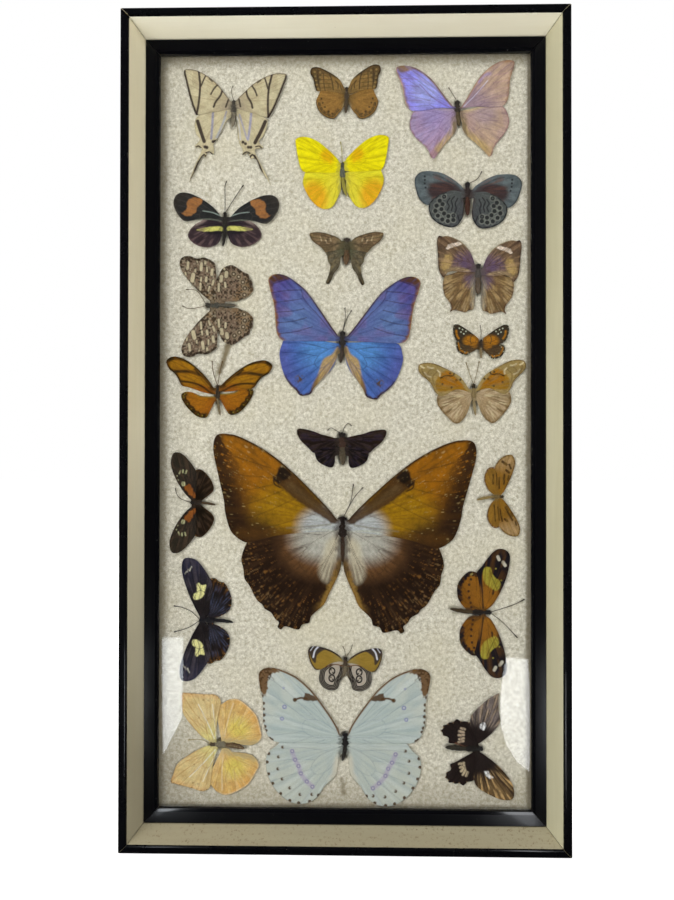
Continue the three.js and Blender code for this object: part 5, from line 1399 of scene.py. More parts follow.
# Large fritillary underside: ochre disc with dark rings, pale grey beyond with silver spots.
def paint_silver(fore, hind):
    ink, silver = "#2A1E0D", "#C7B993"
    fore.begin("#96814E").wash("#877141", (23.8, 7.1), (34.1, 16.2), 0.5)
    fore.patch("#8C630B", (4.5, -0.3), (11.5, 7.8), (15.4, 12.7), (18.8, 12.8), (22.1, 10.4), (24.7, 4.5),
        (23.1, -0.6), (14.8, 0.3), soft=0.8, rough=0.8)
    fore.patch("#996206", (6.4, 2.6), (11.5, 8.7), (15.4, 12.3), (18.9, 12), (20.9, 9.1), (20.6, 3.9),
        (13.5, 2.9), soft=0.8)
    fore.stroke(ink, 0.9, (21.2, 8.3), (18, 9.8), (13.3, 9.8), (12.4, 11.6))
    fore.spots(ink, 0.75, (11.1, 6.9), (8.6, 7.2), (20.1, 4.4), (14.3, 2.3), (15.1, 11.3))
    fore.spots("#996206", 0.3, (11.1, 6.9), (17.8, 10), share=0.8)
    for marks in (
        ((23.4, 12.6), (26.3, 9.1), (25.4, 3.3)), ((27, 14.6), (29.6, 11), (27.3, 5.2)),
        ((31.5, 16.2), (33.4, 13.6), (30.2, 8.4)),
    ):
        fore.stroke("#60481F", 0.6, *marks, share=0.75)
    for start, mid, end in (
        ((29.6, 15.5), (27.6, 14.6), (26, 14.9)), ((23.1, 13.2), (21.8, 11.6), (21.8, 9.7)),
        ((34.1, 16.2), (33.1, 15.3), (32.1, 14.9)), ((31.5, 11.7), (29.6, 9.7), (27.6, 9.1)),
    ):
        fore.stroke(silver, 1.0, start, mid, end, soft=0.4)
    fore.border("#644C23", 0.6, 2, fore.corner + 0.3, share=0.8)
    fore.edge_spots("#AE9B66", 0.4, 1.2, fore.tip - 0.8, fore.corner + 0.3, 7, share=0.7)
    hind.begin("#9A8362").cloud("#AB9677", 3, 0.6)
    for start, mid, end in (
        ((15.1, -4.9), (11.5, -3.5), (7, -3.3)), ((21.2, -4.9), (18, -4), (16, -4.2)),
        ((19.9, -9), (17.3, -8.4), (14.1, -8.6)), ((15.4, -12.2), (12.2, -10.3), (9.6, -7.4)),
        ((11.5, -16.8), (10.3, -12.9), (8.3, -9.7)),
    ):
        hind.stroke(silver, 1.3, start, mid, end, soft=0.7, share=0.7)
    hind.scallops("#624A24", 0.5, 3.5, 9, 7, 0.8, soft=0.4, share=0.7)
    hind.rays("#654C29", 0.8, 26, 0.45, 1.1).rays("#C1AD8C", 0.6, 20, 0.2, 0.9, 8)
    for wing in (fore, hind):
        wing.rays("#7E6A44", 0.4, 24, 0.3, 1.1, 12).veins("#7A6640", 0.4, 0.5)


spread_butterfly(
    "silver_spotted_fritillary", (83.2, -229.4), 0, "left",
    [(3.1, 1.2), (8.7, 9), (17.4, 14.1), (27.2, 18), (34.9, 17), (35.4, 12.6), (27.7, 4.9), (24.6, -0.8),
        (21.5, -3.3), (17.4, -2.3), (12.3, 0.7), (7.2, 0.6), (2.2, -1.2)],
    [(2.6, -2.3), (7.7, 1.8), (13.8, 1.8), (22.6, -2.2), (23.6, -6.4), (22.8, -9.5), (17.4, -16.3),
        (11.3, -21.1), (7.7, -19.4), (4.6, -15.2), (1.5, -6.5)],
    body=(5, -16.2, 3.6, 2.2, 1.3), turned=((3.5, -1.3, 0.1), (2.9, 0.2, -0.2)),
    feelers=[[(-2.6, 11), (-4.9, 18.5)], [(2.1, 12.1), (3.6, 19)]],
    paint=paint_silver, dust=0.16, fur_colours=("#33291C", "#7A6844", "#8A7A58", "#8E7E5C"), hairs=180,
    grain=0.34,
)


# Stout skipper: black-brown wings, rusty fur on the thorax and hooked antennae.
def paint_dark_skipper(fore, hind):
    fore.begin("#1C1109").wash("#26180A", (13.9, 1.9), (26.9, 7.8), 0.6)
    fore.wash("#180E07", (12.6, 0.6), (5.5, -0.6), 0.5)
    fore.border("#422B11", 0.5, 0, fore.tip, share=0.6)
    hind.begin("#0C0705").wash("#120A05", (12.6, -7.8), (16.5, -12.3), 0.5)
    hind.border("#281C10", 0.5, 4, 9, share=0.4)
    for wing in (fore, hind):
        wing.rays("#3E302A", 0.6, 24).rays("#2E2438", 0.5, 20, seed=8).veins("#120E11", 0.45, 0.7)


spread_butterfly(
    "dark_skipper", (-1.5, -263), 0, "left",
    [(4.7, 3.2), (9.1, 4.5), (13.9, 5.7), (19, 7.7), (23.8, 8.8), (27.7, 9.2), (29.2, 8.1), (27.3, 2.3),
        (22.1, -2.9), (18.2, -6.4), (13.8, -3.8), (7.3, -2.5)],
    [(3.9, -3.8), (6.5, -1), (11.6, -2.3), (17.3, -4.9), (17.1, -9.4), (15.1, -12.4), (8.2, -15.8), (6, -15.5),
        (4.9, -12.9), (4.5, -8.5)],
    body=(7, -14.6, 6.4, 4.6, 0.6), turned=((-2.9, -0.9, 0.8), (-2.7, -0.1, 0.1)),
    feelers=[[(-5.6, 9.1), (-7.3, 9.7), (-9.5, 8.1)], [(1.7, 10.5), (3.9, 12.7), (6.1, 11)]],
    paint=paint_dark_skipper, dust=0.3, fur_colours=("#231D1A", "#3A271D", "#4E4434", "#332A22"), hairs=420,
    hair_length=2.2, club=0.4, grain=0.36,
)


# The great morpho: brown cell, orange field, a white flare along the middle, and dark margins
# scuffed with pale streaks.
def paint_sunset(fore, hind):
    umber = "#241509"
    fore.begin("#653C06").glow("#8B5703", (59.7, 43.2), 12, 36, 0.95, (0.7, 1))
    fore.glow("#926C03", (31.1, 7.1), 16, 37, 0.9, (0.9, 1.1))
    fore.wash("#341F0C", (51.8, 13.5), (67.4, 1.8), 0.95)
    fore.border(umber, 12.5, fore.tip - 0.4, fore.corner + 3, soft=8.5, rough=3)
    fore.stroke("#4C300C", 5.0, (33.7, -3.3), (47.9, -2), (66.1, -2.1), soft=4.5)
    fore.glow("#A7ACAC", (10.4, 0.7), 12, 24, 0.95, (1, 1.3))
    fore.patch("#3E2811", (2, 5.9), (12.3, 14.9), (26.3, 28.9), (36.7, 39.5), (42.8, 35.8), (43.2, 30.3),
        (39, 26.5), (29.8, 18.4), (17.1, 10.3), (5.5, 3.3), soft=1.0, rough=0.8)
    fore.patch("#594528", (7.8, 7.8), (23.3, 22), (33.7, 31), (37.6, 29), (27.9, 20), (15.6, 11), soft=2.0,
        share=0.55)
    fore.patch("#19110A", (40.9, 39.9), (36, 40.3), (33.1, 35.5), (37, 31.9), (42.1, 29.7), (45.1, 31),
        (42.8, 35.5), soft=0.7, rough=1.2)
    fore.stroke("#19110A", 0.9, (44.7, 34.2), (44.1, 29), (40.5, 26.8), soft=0.4)
    fore.stroke("#AB9F78", 1.0, (38, 41.6), (39.6, 40.4), soft=0.4, share=0.7)
    fore.border("#301F0C", 1.3, 0, fore.tip - 0.5, soft=0.8)
    fore.stroke("#757057", 0.9, (7.8, 3), (22, 1.7), (36.3, 0.6), soft=0.5, share=0.6)
    fore.stroke("#B0B1A1", 1.2, (4.6, -1.3), (15.6, -0.3), (25.3, -0.7), soft=0.7, share=0.8)
    for start, mid, end in (
        ((45.4, 32.9), (59.7, 34.2), (77.9, 35.4)), ((43.4, 29), (58.4, 25.8), (75.2, 23.8)),
        ((38.3, 25.2), (55.7, 18), (73.3, 13.4)), ((31.1, 19.4), (51.8, 10.2), (71.3, 4.4)),
        ((46.7, 39.4), (62.9, 44.5), (79.2, 49.7)), ((17.5, 9.7), (40.2, 3.2), (66.1, -4)),
    ):
        fore.stroke("#301E0C", 0.6, start, mid, end, share=0.5)
    fore.rays("#4C300C", 0.35, 40)
    fore.flecks("#9D620F", 0.85, 0.84, 1.1, 41, 0.8).flecks("#9D620F", 0.7, 0.76, 1.1, 45, 0.84)
    fore.flecks("#9E8959", 0.6, 0.45, 1.1, 42, 0.84)
    hind.begin(umber).glow("#654424", (15.5, -10.3), 14, 27, 0.95, (0.85, 1))
    hind.glow("#A9A79B", (11, -5.8), 9, 21, 0.95, (0.72, 1.0))
    hind.patch("#B2A991", (2.6, -4.5), (5.2, -21.3), (10.3, -34.2), (14.9, -29), (12.9, -17.4), (9.1, -7.1),
        soft=2.5)
    hind.border("#B2AB96", 1.6, -1, 4.0, soft=1.4, share=0.5)
    hind.wash("#1C0F07", (36.9, -20.1), (47.9, -36.3), 0.7)
    hind.border("#88682F", 3.0, hind.end - 4.4, hind.end - 1.2, soft=1.6, rough=2)
    hind.scallops("#170D06", 0.8, 4, 20, 14, 1.2)
    hind.veins("#342415", 0.4, 0.6)
    hind.flecks("#82643E", 0.75, 0.78, 1.1, 43, 0.74).flecks("#7E5524", 0.8, 0.62, 1.1, 44, 0.8)
    hind.rays("#382411", 0.5, 40, 0.3)


spread_butterfly(
    "sunset_morpho", (-1.1, -318.6), 0, "left",
    [(3.6, 6.1), (8.4, 12.2), (23.1, 27.7), (34.7, 38.8), (46.2, 48.1), (60.5, 56.7), (72, 61.1), (81.4, 60.7),
        (83.9, 53.8), (80.5, 34.3), (76.9, 18.3), (76, 10.3), (72.4, -1.2), (68.4, -5.6), (63, -8.7),
        (59.4, -8.5), (44.3, -4.7), (20.7, -2), (4.6, -1.3)],
    [(4.4, 1.1), (20.7, 0.6), (33.7, -0.4), (53.1, -4.4), (59.4, -5.9), (65.5, -19), (64.1, -26.1),
        (63.4, -32.3), (60.3, -36.6), (55.4, -45.9), (51.8, -49), (50.5, -51.3), (46, -54.3), (43.8, -57.8),
        (41.1, -60.5), (42, -63.2), (39.8, -64.9), (37.6, -62.9), (28.3, -64.8), (26, -61.7), (21.6, -60.3),
        (20.3, -56.4), (11.9, -48.4), (8.8, -41.8), (1.7, -26.7), (0.4, -17.8), (0.9, -9)],
    body=(8.4, -21.4, 6.8, 3, 0), turned=((-2.9, -0.4, -0.2), (-2.5, 0.6, -0.6)),
    feelers=[[(5.1, 17.6), (6.9, 29.1)], [(7.7, 20.7), (13.1, 26.9)]],
    paint=paint_sunset, dust=0.18, fur_colours=("#1C1512", "#241B16", "#3A2A1E", "#33261C"), grain=0.58,
    hairs=420, hair_length=3.0, veins=((None, None, 8), (None, None, 8)),
)


# Glasswing cousin: tan and ochre with a few dark streaks, pale dots along the margins.
def paint_tan(fore, hind):
    ink, cream = "#39240A", "#9F835B"
    fore.begin("#805917").wash(cream, (12.1, 3.5), (22.4, 7.3), 0.85)
    hind.begin("#87611E").cloud("#6F4F1A", 3, 0.4)
    if fore.other:
        fore.wash(cream, (12.5, 3.1), (22.8, 6.6), 0.6)
        blotches = ((1.5, (7.4, 3.9), (10.1, 4.7)), (1.4, (10.8, 4.6), (16.3, 6.6)),
            (1.5, (14.9, 2), (16.4, 3.3)), (1.3, (11.7, 6.8), (13.7, 7)), (1.1, (17.2, 8.5), (19.8, 8.6)),
            (1.1, (8.1, -0.2), (15.9, 0.2)))
        streaks = ((0.9, (4.2, -3.2), (14.4, -4.4)), (0.8, (5.9, -1.1), (14.3, -1.8)))
    else:
        blotches = ((1.7, (22.6, 2.6), (20.7, 5.1)), (1.3, (20.7, 6.9), (18.1, 8)), (1.6, (17, 5), (15.4, 6.9)),
            (1.2, (13.6, 6.6), (10.8, 6.2)), (1.3, (14.3, 3.7), (8.2, 3.6)), (1.1, (12.3, 0.5), (5.4, 0.5)))
        streaks = ((1.0, (14.2, -3.3), (8.2, -3.4)), (0.8, (15.9, -1), (7.5, -0.8)))
    for width, start, end in blotches:
        fore.stroke(ink, width, start, end)
    for width, start, end in streaks:
        hind.stroke(ink, width, start, end)
    fore.border("#513409", 0.9, fore.tip - 3, fore.corner + 0.3, share=0.8)
    fore.edge_spots("#A68D4D", 0.35, 0.55, fore.tip - 2.5, fore.corner + 0.3, 10)
    hind.border("#553816", 0.8, 3, 10, share=0.8)
    hind.edge_spots("#A68F81", 0.32, 0.5, 3, 9, 8)
    for wing in (fore, hind):
        wing.veins("#6A4E1C", 0.35, 0.6).rays("#7E5E24", 0.35, 22)


spread_butterfly(
    "tan_longwing", (99, -297.5), -90, "left",
    [(0.9, 1.5), (3.4, 3.6), (16.9, 9.7), (22.7, 10.7), (26.6, 8.9), (27, 6.9), (25.6, 2.8), (21.8, -1),
        (17.8, -2.4), (15.7, -1.3), (10.7, -0.5), (4.6, -0.3), (1.4, -0.1)],
    [(0.9, -1.3), (2.1, -0.3), (8.7, 1), (14.9, 0.1), (17.8, -0.9), (19, -3.8), (18.8, -5.8), (17.1, -7.5),
        (12, -9.1), (9.1, -8.7), (4.2, -6.2), (0.7, -2.2)],
    body=(3.6, -14.2, 2.8, 2, 2.2), turned=((8.9, -0.1, -0.2), (11.2, 0.6, -0.4)),
    paint=paint_tan, dust=0.15, fur_colours=("#3A2F1E", "#6A5836", "#8A7648", "#6E5C38"), feelers=(), grain=0.3,
    hairs=90, hair_length=1.2,
)


# Tiger longwing: orange-brown with black spots and edges, yellow across the forewing.
def paint_tiger(fore, hind):
    ground, ink, yellow = "#885814", "#171217", "#958B2F"
    fore.begin(ink)
    fore.patch(ground, (0.1, -2.3), (13, -0.4), (22, -0.4), (27.5, 1.6), (22, 6.7), (14.3, 9.9), (7.9, 7.1),
        (2.1, 2.8), soft=0.6)
    fore.patch(yellow, (28.2, 1.1), (29.3, 3.5), (27.7, 5.9), (24.9, 6.3), (22.3, 8.4), (19.7, 11.4),
        (15.4, 10.5), (13.7, 8.6), (16.4, 4.3), (20.7, 0.6), soft=0.4, rough=0.5)
    fore.wash(ground, (17.5, 3.5), (13.7, 2.2), 0.6)
    fore.strokes("#BBB5A2", (1.9, (35.8, 9.9), (33.9, 10.7)), (2.0, (32.3, 13.2), (30.2, 14.6)))
    fore.spots(yellow, 0.5, (20.6, 12.1), (28.1, 8.6))
    fore.stroke(ink, 1.2, (14.3, 7.1), (11.8, 6.7))
    fore.stroke(ink, 0.6, (27.2, 4.5), (20.7, 6.9), (15, 9.3), share=0.6)
    fore.stroke(ink, 0.9, (25.2, -0.9), (14.3, -0.1), (2.7, 0.5))
    hind.begin(ground).wash("#5C3502", (14.3, -4.2), (9.1, -12.6), 0.6)
    hind.border("#847D52", 0.9, -1, 2.6)
    hind.border(ink, 2.0, 2.4, 7.8)
    hind.scallops(ink, 2.2, 2.6, 7.8, 14, 1.0, soft=0.4)
    for middle in ((21.2, -7.3), (17.7, -8.4), (13.5, -8.8), (9.4, -8.4), (6.2, -7.5), (3.3, -7)):
        hind.spots(ink, 0.85, middle)
    hind.stroke("#8D854E", 1.2, (24.3, -7.2), (24.6, -6.5))
    hind.edge_spots("#7C7141", 0.22, 0.5, 3.4, 7, 10, share=0.7)
    for wing in (fore, hind):
        wing.rays("#6A440E", 0.35, 22).veins("#3E260C", 0.35, 0.5)


spread_butterfly(
    "tiger_longwing", (88.7, -371.8), -90, "left",
    [(1.3, 1.9), (4, 5.7), (12.6, 11.3), (22.7, 15.5), (28.7, 17), (37.6, 17.3), (40.6, 13.7), (40.3, 9),
        (35.8, 4.2), (29.8, -0.2), (25.6, -3.5), (22.7, -2.9), (16.8, -2), (9.6, -1.4), (2.5, -0.8)],
    [(1, -1.1), (2.5, 0.9), (22.7, -1.1), (25, -2.9), (26.2, -8.2), (20.8, -14.2), (16.7, -16), (9.6, -15.7),
        (6, -13.9), (1, -8.9), (0.8, -2.9)],
    body=(6, -21.2, 4.2, 2.8, -2.2), turned=((-4.2, 0.5, 0.3), (3.3, 1.2, 0.8)),
    feelers=[[(-2.8, 13.7), (-5, 20.2), (-8.5, 27)], [(5.8, 12.5), (10.5, 17.2), (16.1, 22.3)]],
    paint=paint_tiger, dust=0.15, fur_colours=("#1A1613", "#241D18", "#3E3220", "#2E251B"), hairs=160,
    grain=0.36,
)


# Small brush-foot lying underside up: ochre forewing with banded tip, white hindwing ringed black.
def paint_ringed(fore, hind):
    ink, chalk = "#140F0C", "#A49A8C"
    fore.begin("#8C712B").wash("#877A49", (9.6, 4.8), (1.8, 0.3), 0.7)
    fore.border("#3B312D", 1.0, 1, fore.tip)
    fore.patch("#342C2A", (23.8, 10.5), (17.4, 11.4), (11.5, 9.3), (15.4, 7.3), (18.3, 4.7), (19.5, -0.4),
        (22.1, 2.8), soft=0.4)
    fore.stroke("#CCCDD6", 1.0, (17.4, 10.5), (19.7, 7.6), (20.8, 3.4))
    fore.stroke("#C2C3CA", 0.5, (20.7, 10.4), (22.6, 7.7))
    fore.border("#3B312D", 0.8, fore.tip - 0.5, fore.corner + 0.3)
    fore.stroke("#3B312B", 0.7, (1.2, 1.6), (7, 6.1), (12.8, 8.9), share=0.7)
    hind.begin(chalk)
    for inset in (0.2, 1.15, 2.1, 3.05):
        away = np.abs(hind.inward - inset)
        hind.lay(ink, (1 - ramp(away, 0.27, 0.5)) * ramp(hind.along, 2.2, 2.8))
    for centre in ((8.7, -5.5), (8.8, -10)):
        away = np.hypot(*((hind.flat - centre) * (1, 0.85)).T)
        hind.lay(chalk, 1 - ramp(away, 2.2, 2.5))
        hind.lay(ink, 1 - ramp(np.abs(away - 1.8), 0.3, 0.55))
    hind.spots(ink, 0.5, (9.3, -4.6), (8.1, -6.4), (9.4, -9.4), (8.2, -10.8))
    hind.stroke("#5E3508", 0.6, (0.6, -2.3), (7, -1.2), (13.5, -3))
    for start, mid, end in (((0.9, -3.5), (2.5, -8.7), (4.1, -14.5)), ((2.2, -2.9), (4.4, -8.1), (5.1, -13.2))):
        hind.stroke(ink, 0.7, start, mid, end)


spread_butterfly(
    "eighty_eight", (0.8, -404.6), 0, "left",
    [(1.5, 1.4), (3.4, 4), (8.2, 7.3), (14.1, 9.5), (21.9, 10.4), (24, 8), (23.6, 3.1), (21.7, -1.7),
        (18.9, -4.8), (14.1, -3.4), (11.5, -1.6), (8.2, -0.1), (4.5, 0.7)],
    [(1.5, -0.8), (3.7, 1.3), (6.7, 1.3), (12.3, -1.3), (15.5, -3.9), (16.7, -7.2), (16.7, -12.3),
        (13.7, -16.4), (8.9, -17.8), (5.2, -16.7), (3.7, -12.6), (1.1, -8.2), (0.2, -4.4), (0.4, -1.5)],
    body=(4, -9.3, 3.2, 2.2, -1.1), turned=((-0.3, -0.4, -1), (-2.5, 0.4, -0.2)),
    feelers=[[(-0.6, 8.1), (-1.7, 10.3)], [(3.7, 8.8), (4.4, 11.6)]],
    paint=paint_ringed, dust=0.1, fur_colours=("#2A231E", "#46392C", "#6E634E", "#5A4E3C"), grain=0.2,
    hairs=110, hair_length=1.2, club=0.34,
)


# White morpho: mother-of-pearl blue, its tips and costa brown, small rings and dark crescents.
def paint_pearl(fore, hind):
    bark, dot = "#6A481F", "#50371C"
    fore.begin("#B5BFB8").wash("#C3C6BB", (28.8, 19.7), (47, 33.8), 0.7).cloud("#AAB6B2", 9, 0.5)
    fore.shine(0.2)
    fore.veins("#7D8890", 0.45, 0.45).rays("#8D9FA7", 0.3, 30).rays("#D3DAD7", 0.3, 26, seed=8)
    fore.border(bark, 1.0, 0, fore.tip - 1.2)
    fore.patch(bark, (56, 44.7), (54.1, 48.2), (48.3, 48.6), (42.4, 45.7), (47.6, 44.1), (50.2, 40.2),
        (49.9, 35), (51.7, 30.5), (54.7, 33.7), (56.4, 39.5), soft=0.5, rough=1.3)
    beyond = ramp(np.hypot(*(fore.flat - (53.4, 42.8)).T), 5.5, 9)
    fore.lay("#3A270F", ramp(mottle(fore.flat, 1.0, 3), 0.5, 0.7) * (1 - beyond) * 0.8)
    for centre, radius in (((39.8, 35.4), 0.75), ((39.2, 23.2), 1.45), ((40.8, 15.6), 1.25)):
        fore.spots("#797DA8", radius, centre)
        fore.spots("#BDC1C6", radius * 0.5, centre)
    fore.spots(dot, 1.35, (32.5, 27.8))
    fore.stroke(dot, 1.3, (32.5, 27.8), (28.8, 29), (25, 28.6))
    fore.patch(dot, (25.9, 32.2), (23.4, 31.9), (20.2, 30.1), (17.9, 27.5), (22.4, 27.2), (27.2, 27.7),
        (26.3, 30.1), rough=0.6)
    for spot in ((52.8, 25.4), (52.5, 17.8), (51.8, 10.5), (48.6, 2.8)):
        fore.spots(dot, 1.1, spot)
    fore.edge_spots(dot, 1.0, 0.4, fore.tip + 0.2, fore.corner, 8)
    hind.begin("#BAC1B7").cloud("#AEB8B4", 8, 0.5).wash("#C4C7B9", (28.8, -11.2), (41.7, -24.1), 0.5)
    hind.shine(0.2)
    hind.veins("#7D8890", 0.45, 0.45).rays("#8C9EA6", 0.3, 30).rays("#D1D9D6", 0.3, 26, seed=8)
    for spot in (
        (40.3, -2.8), (43, -9.1), (43.4, -16.8), (40.6, -23.3), (35.7, -29), (29.1, -33.1), (21.5, -33),
    ):
        hind.spots(dot, 1.05, spot)
        hind.spots("#BAC1B7", 0.55, (spot[0] - 0.7, spot[1] + 0.2), share=0.8)
    hind.edge_spots(dot, 1.1, 0.7, 5.0, 11.2, 9)
    chain = ((34.2, -5.4), (32.3, -10.9), (30.1, -14.9), (28.6, -19.6), (24.7, -24.8), (21.1, -28.1))
    hind.stroke("#A799B6", 3.0, *chain, soft=1.0, share=0.6)
    hind.spots("#776D98", 1.3, *chain, share=0.75)
    hind.spots("#BEBCC2", 0.65, *chain)
    hind.border("#D7CDB4", 2.6, 12.5, hind.end, soft=1.4, share=0.6)


spread_butterfly(
    "pearl_morpho", (0.7, -456.4), 0, "left",
    [(3, 4.9), (5.9, 11.5), (14.2, 24), (23, 35), (34.2, 43.8), (49.8, 48.4), (55.4, 45.2), (55.2, 37.1),
        (53.2, 26.7), (52.6, 11.9), (47.5, 1.9), (35.6, 0.2), (24.5, 0.1), (13.3, -0.2), (4.4, -0.3)],
    [(3.7, -1.8), (13.3, 1.3), (28.2, 1.9), (40, 1.8), (43.8, -2.1), (50, -7.3), (51, -15.5), (48.2, -25),
        (42.2, -33.1), (34.8, -38.2), (25.9, -38.9), (18.5, -35.1), (13.3, -27.7), (6.3, -20.6), (5.2, -15.1),
        (3.7, -8.4)],
    body=(6.8, -11.4, 5.6, 3, -1.9), turned=((-0.8, -1.8, 0.4), (-3.7, -1.4, 0.7)),
    paint=paint_pearl, fur_colours=("#191617", "#1D1A19", "#26221E", "#2A2622"), feelers=(), grain=0.46,
    hairs=240, hair_length=2.0,
)


# Cattleheart: black-brown with a white spot, cream blobs across the toothed hindwing.
def paint_cattleheart(fore, hind):
    ink = "#201613"
    fore.begin(ink)
    if fore.other:
        fore.wash("#7B6F6A", (10.6, 3.2), (22.1, 7), 0.8)
        fore.patch("#EDEDED", (16.6, 3.6), (17, 5.7), (14.4, 6.6), (12.2, 5.1), (13.4, 3), soft=0.5, rough=0.8)
    else:
        fore.wash("#6E5534", (12.5, 5.1), (25.2, 10.8), 0.75)
        fore.patch("#EBEDED", (14.6, 5.7), (14.1, 7.9), (16.3, 8.9), (18.2, 10.8), (18.6, 8.3), (17.2, 6.2),
            soft=0.5, rough=0.8)
    fore.rays("#9B8771" if fore.other else "#B99865", 0.85, 34, 0.45).rays(ink, 0.7, 28, 0.3, 1.1, 8)
    hind.begin(ink)
    if fore.other:
        for start, end in (
            ((16.1, -4.5), (17.3, -6.5)), ((14.4, -5.5), (15.7, -8.3)), ((12.6, -6), (13.4, -9.1)),
            ((10.7, -6.5), (10.8, -9.3)), ((8.9, -7.2), (9, -10.4)),
        ):
            hind.stroke("#AD9A81", 1.55, start, end)
        hind.stroke("#7E563F", 1.4, (8.4, -12.3), (6, -8.9), (4.1, -4.8), soft=0.7, share=0.8)
    else:
        for start, end in (
            ((15.1, -5.2), (17.4, -6.2)), ((13.9, -6.7), (16.7, -8.4)), ((12.3, -7.1), (14.5, -9.4)),
            ((10.7, -7.5), (12.2, -9.9)), ((9.1, -7.7), (9.8, -10.7)),
        ):
            hind.stroke("#B6A687", 1.55, start, end)
        hind.stroke("#7B5A39", 1.0, (7.5, -14.8), (5.6, -9.6), (2.3, -4.5), soft=0.5, share=0.7)
    hind.edge_spots("#AD926C", 0.4, 0.3, 2.5, 13, 7, share=0.7)
    for wing in (fore, hind):
        wing.veins("#0E0A08", 0.45, 0.6)


spread_butterfly(
    "cattleheart", (84.5, -459.2), -90, "right",
    [(1.7, 2), (3.9, 5.5), (9.9, 13.3), (16.7, 19.7), (24.1, 23.9), (31.4, 23.8), (32.7, 18.2), (28.1, 6.5),
        (23.3, 0.1), (18.9, -1.3), (14, -0.9), (6.7, -0.4)],
    [(9.1, 0.7), (16.5, 0.4), (18.9, 0), (20.9, -3.3), (21.4, -5.8), (23.6, -8), (22.2, -10.7), (22.7, -13.1),
        (21.7, -15.1), (21.7, -17.3), (19.6, -18.1), (18.8, -19.7), (17.1, -18.8), (15.4, -19), (14.2, -16.6),
        (12.7, -15.8), (10.2, -16.6), (8.7, -13.1), (4.2, -5.3), (2.3, -1.9)],
    other_forewing=[(3.2, 1.5), (5.2, 4.5), (10.3, 10.4), (16, 14.8), (18, 15.6), (22.9, 14.8), (32.7, 14.5),
        (35.6, 14.8), (34.9, 12.8), (31.2, 7), (22.5, -1.9), (20.3, -3.3), (15.4, -3.8), (10, -2.4), (5.6, -1.3)],
    body=(5, -19.8, 4.2, 3.4, -0.7), turned=((0, 0, 0), (-13.8, -2.2, 1.1)),
    paint=paint_cattleheart, dust=0.25, fur_colours=("#151210", "#1A1613", "#2E2A20", "#221D18"), feelers=(),
    hairs=160, grain=0.36,
)




# The wadding: a sheet of loose cotton, pressed to the glass by the backing board. It has yellowed
# and matted in lumps, and each body has pressed its own hollow in it.
wadding_low, wadding_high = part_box("cotton_wadding")
TUFT = 1.15
WADDING_REST = 0.1


def wadding_front(places):
    """How far the cotton's front stands back at each place across it, in millimetres."""
    lumps = mottle(places, 4.2, 71) * 0.25 + mottle(places, 9.5, 72) * 0.3 + mottle(places, 2.0, 73) * 0.15
    back = WADDING_REST + lumps
    for x, z, heading, front, tail, thorax, abdomen, bend in hollows:
        turn = math.radians(heading)
        ahead = np.array([-math.sin(turn), math.cos(turn)])
        right = np.array([math.cos(turn), math.sin(turn)])
        local = np.stack([(places - (x, z)) @ right, (places - (x, z)) @ ahead], 1)
        share = np.clip(local[:, 1] / tail, 0, 1.1)
        off = np.abs(local[:, 0] - bend * share**2)
        t = (local[:, 1] - front) / (tail - front)
        radius = body_radius(np.clip(t, 0, 1), thorax, abdomen) * 1.08 + 0.25
        beyond = np.maximum(0, np.maximum(local[:, 1] - front, tail - local[:, 1]))
        inside = np.clip(1 - (off / np.maximum(radius + 0.9, 0.1)) ** 2, 0, 1) ** 0.5
        depth = (thorax * BODY_FLATNESS / 2 - 0.9) + radius * BODY_FLATNESS + 0.4
        back = np.maximum(back, inside * np.maximum(depth, 0) * (1 - ramp(beyond, 0, 1.4)) * 1.15)
    return back


cotton_bm = bmesh.new()
cotton_size = (wadding_high - wadding_low) / MM
across, upright = int(cotton_size.x / TUFT), int(cotton_size.z / TUFT)
centre = (wadding_low + wadding_high) / 2 / MM
bmesh.ops.create_grid(
    cotton_bm, x_segments=across, y_segments=upright, size=0.5,
    matrix=Matrix.Translation((centre.x, centre.z, 0)) @ Matrix.Diagonal((cotton_size.x, cotton_size.z, 1, 1)),
)
cotton_places = np.array([v.co[:2] for v in cotton_bm.verts])
front_depth = wadding_front(cotton_places)
wadding_y = wadding_low.y / MM
rim = [e for e in cotton_bm.edges if e.is_boundary]
for v, back in zip(cotton_bm.verts, front_depth):
    v.co = (v.co.x, wadding_y + back, v.co.y)
turned_back = bmesh.ops.extrude_edge_only(cotton_bm, edges=rim)
back_verts = [g for g in turned_back["geom"] if isinstance(g, bmesh.types.BMVert)]
back_edges = [g for g in turned_back["geom"] if isinstance(g, bmesh.types.BMEdge)]
for v in back_verts:
    v.co.y = wadding_high.y / MM
back_edges = [e for e in back_edges if e.is_boundary]
bmesh.ops.edgeloop_fill(cotton_bm, edges=back_edges)
bmesh.ops.scale(cotton_bm, vec=(MM, MM, MM), verts=cotton_bm.verts[:])
cotton = Finish("cotton_wadding")
stain_and_shade = cotton.add("Attribute", attribute_name="stain_and_shade").outputs["Fac"]
matted = cotton.noise(2.4, 6, roughness=0.75)
fibre = cotton.noise(0.55, 5, roughness=0.8)
tone = cotton.blend(cotton.step(matted, 0.38, 0.6), "#B3AC96", "#EEE9D9")
tone = cotton.blend(cotton.step(fibre, 0.46, 0.62, (0, 0.7)), tone, "#A29B85")
tone = cotton.blend(cotton.step(cotton.noise(45, 3), 0.45, 0.75, (0, 0.35)), tone, "#CFC5A3")
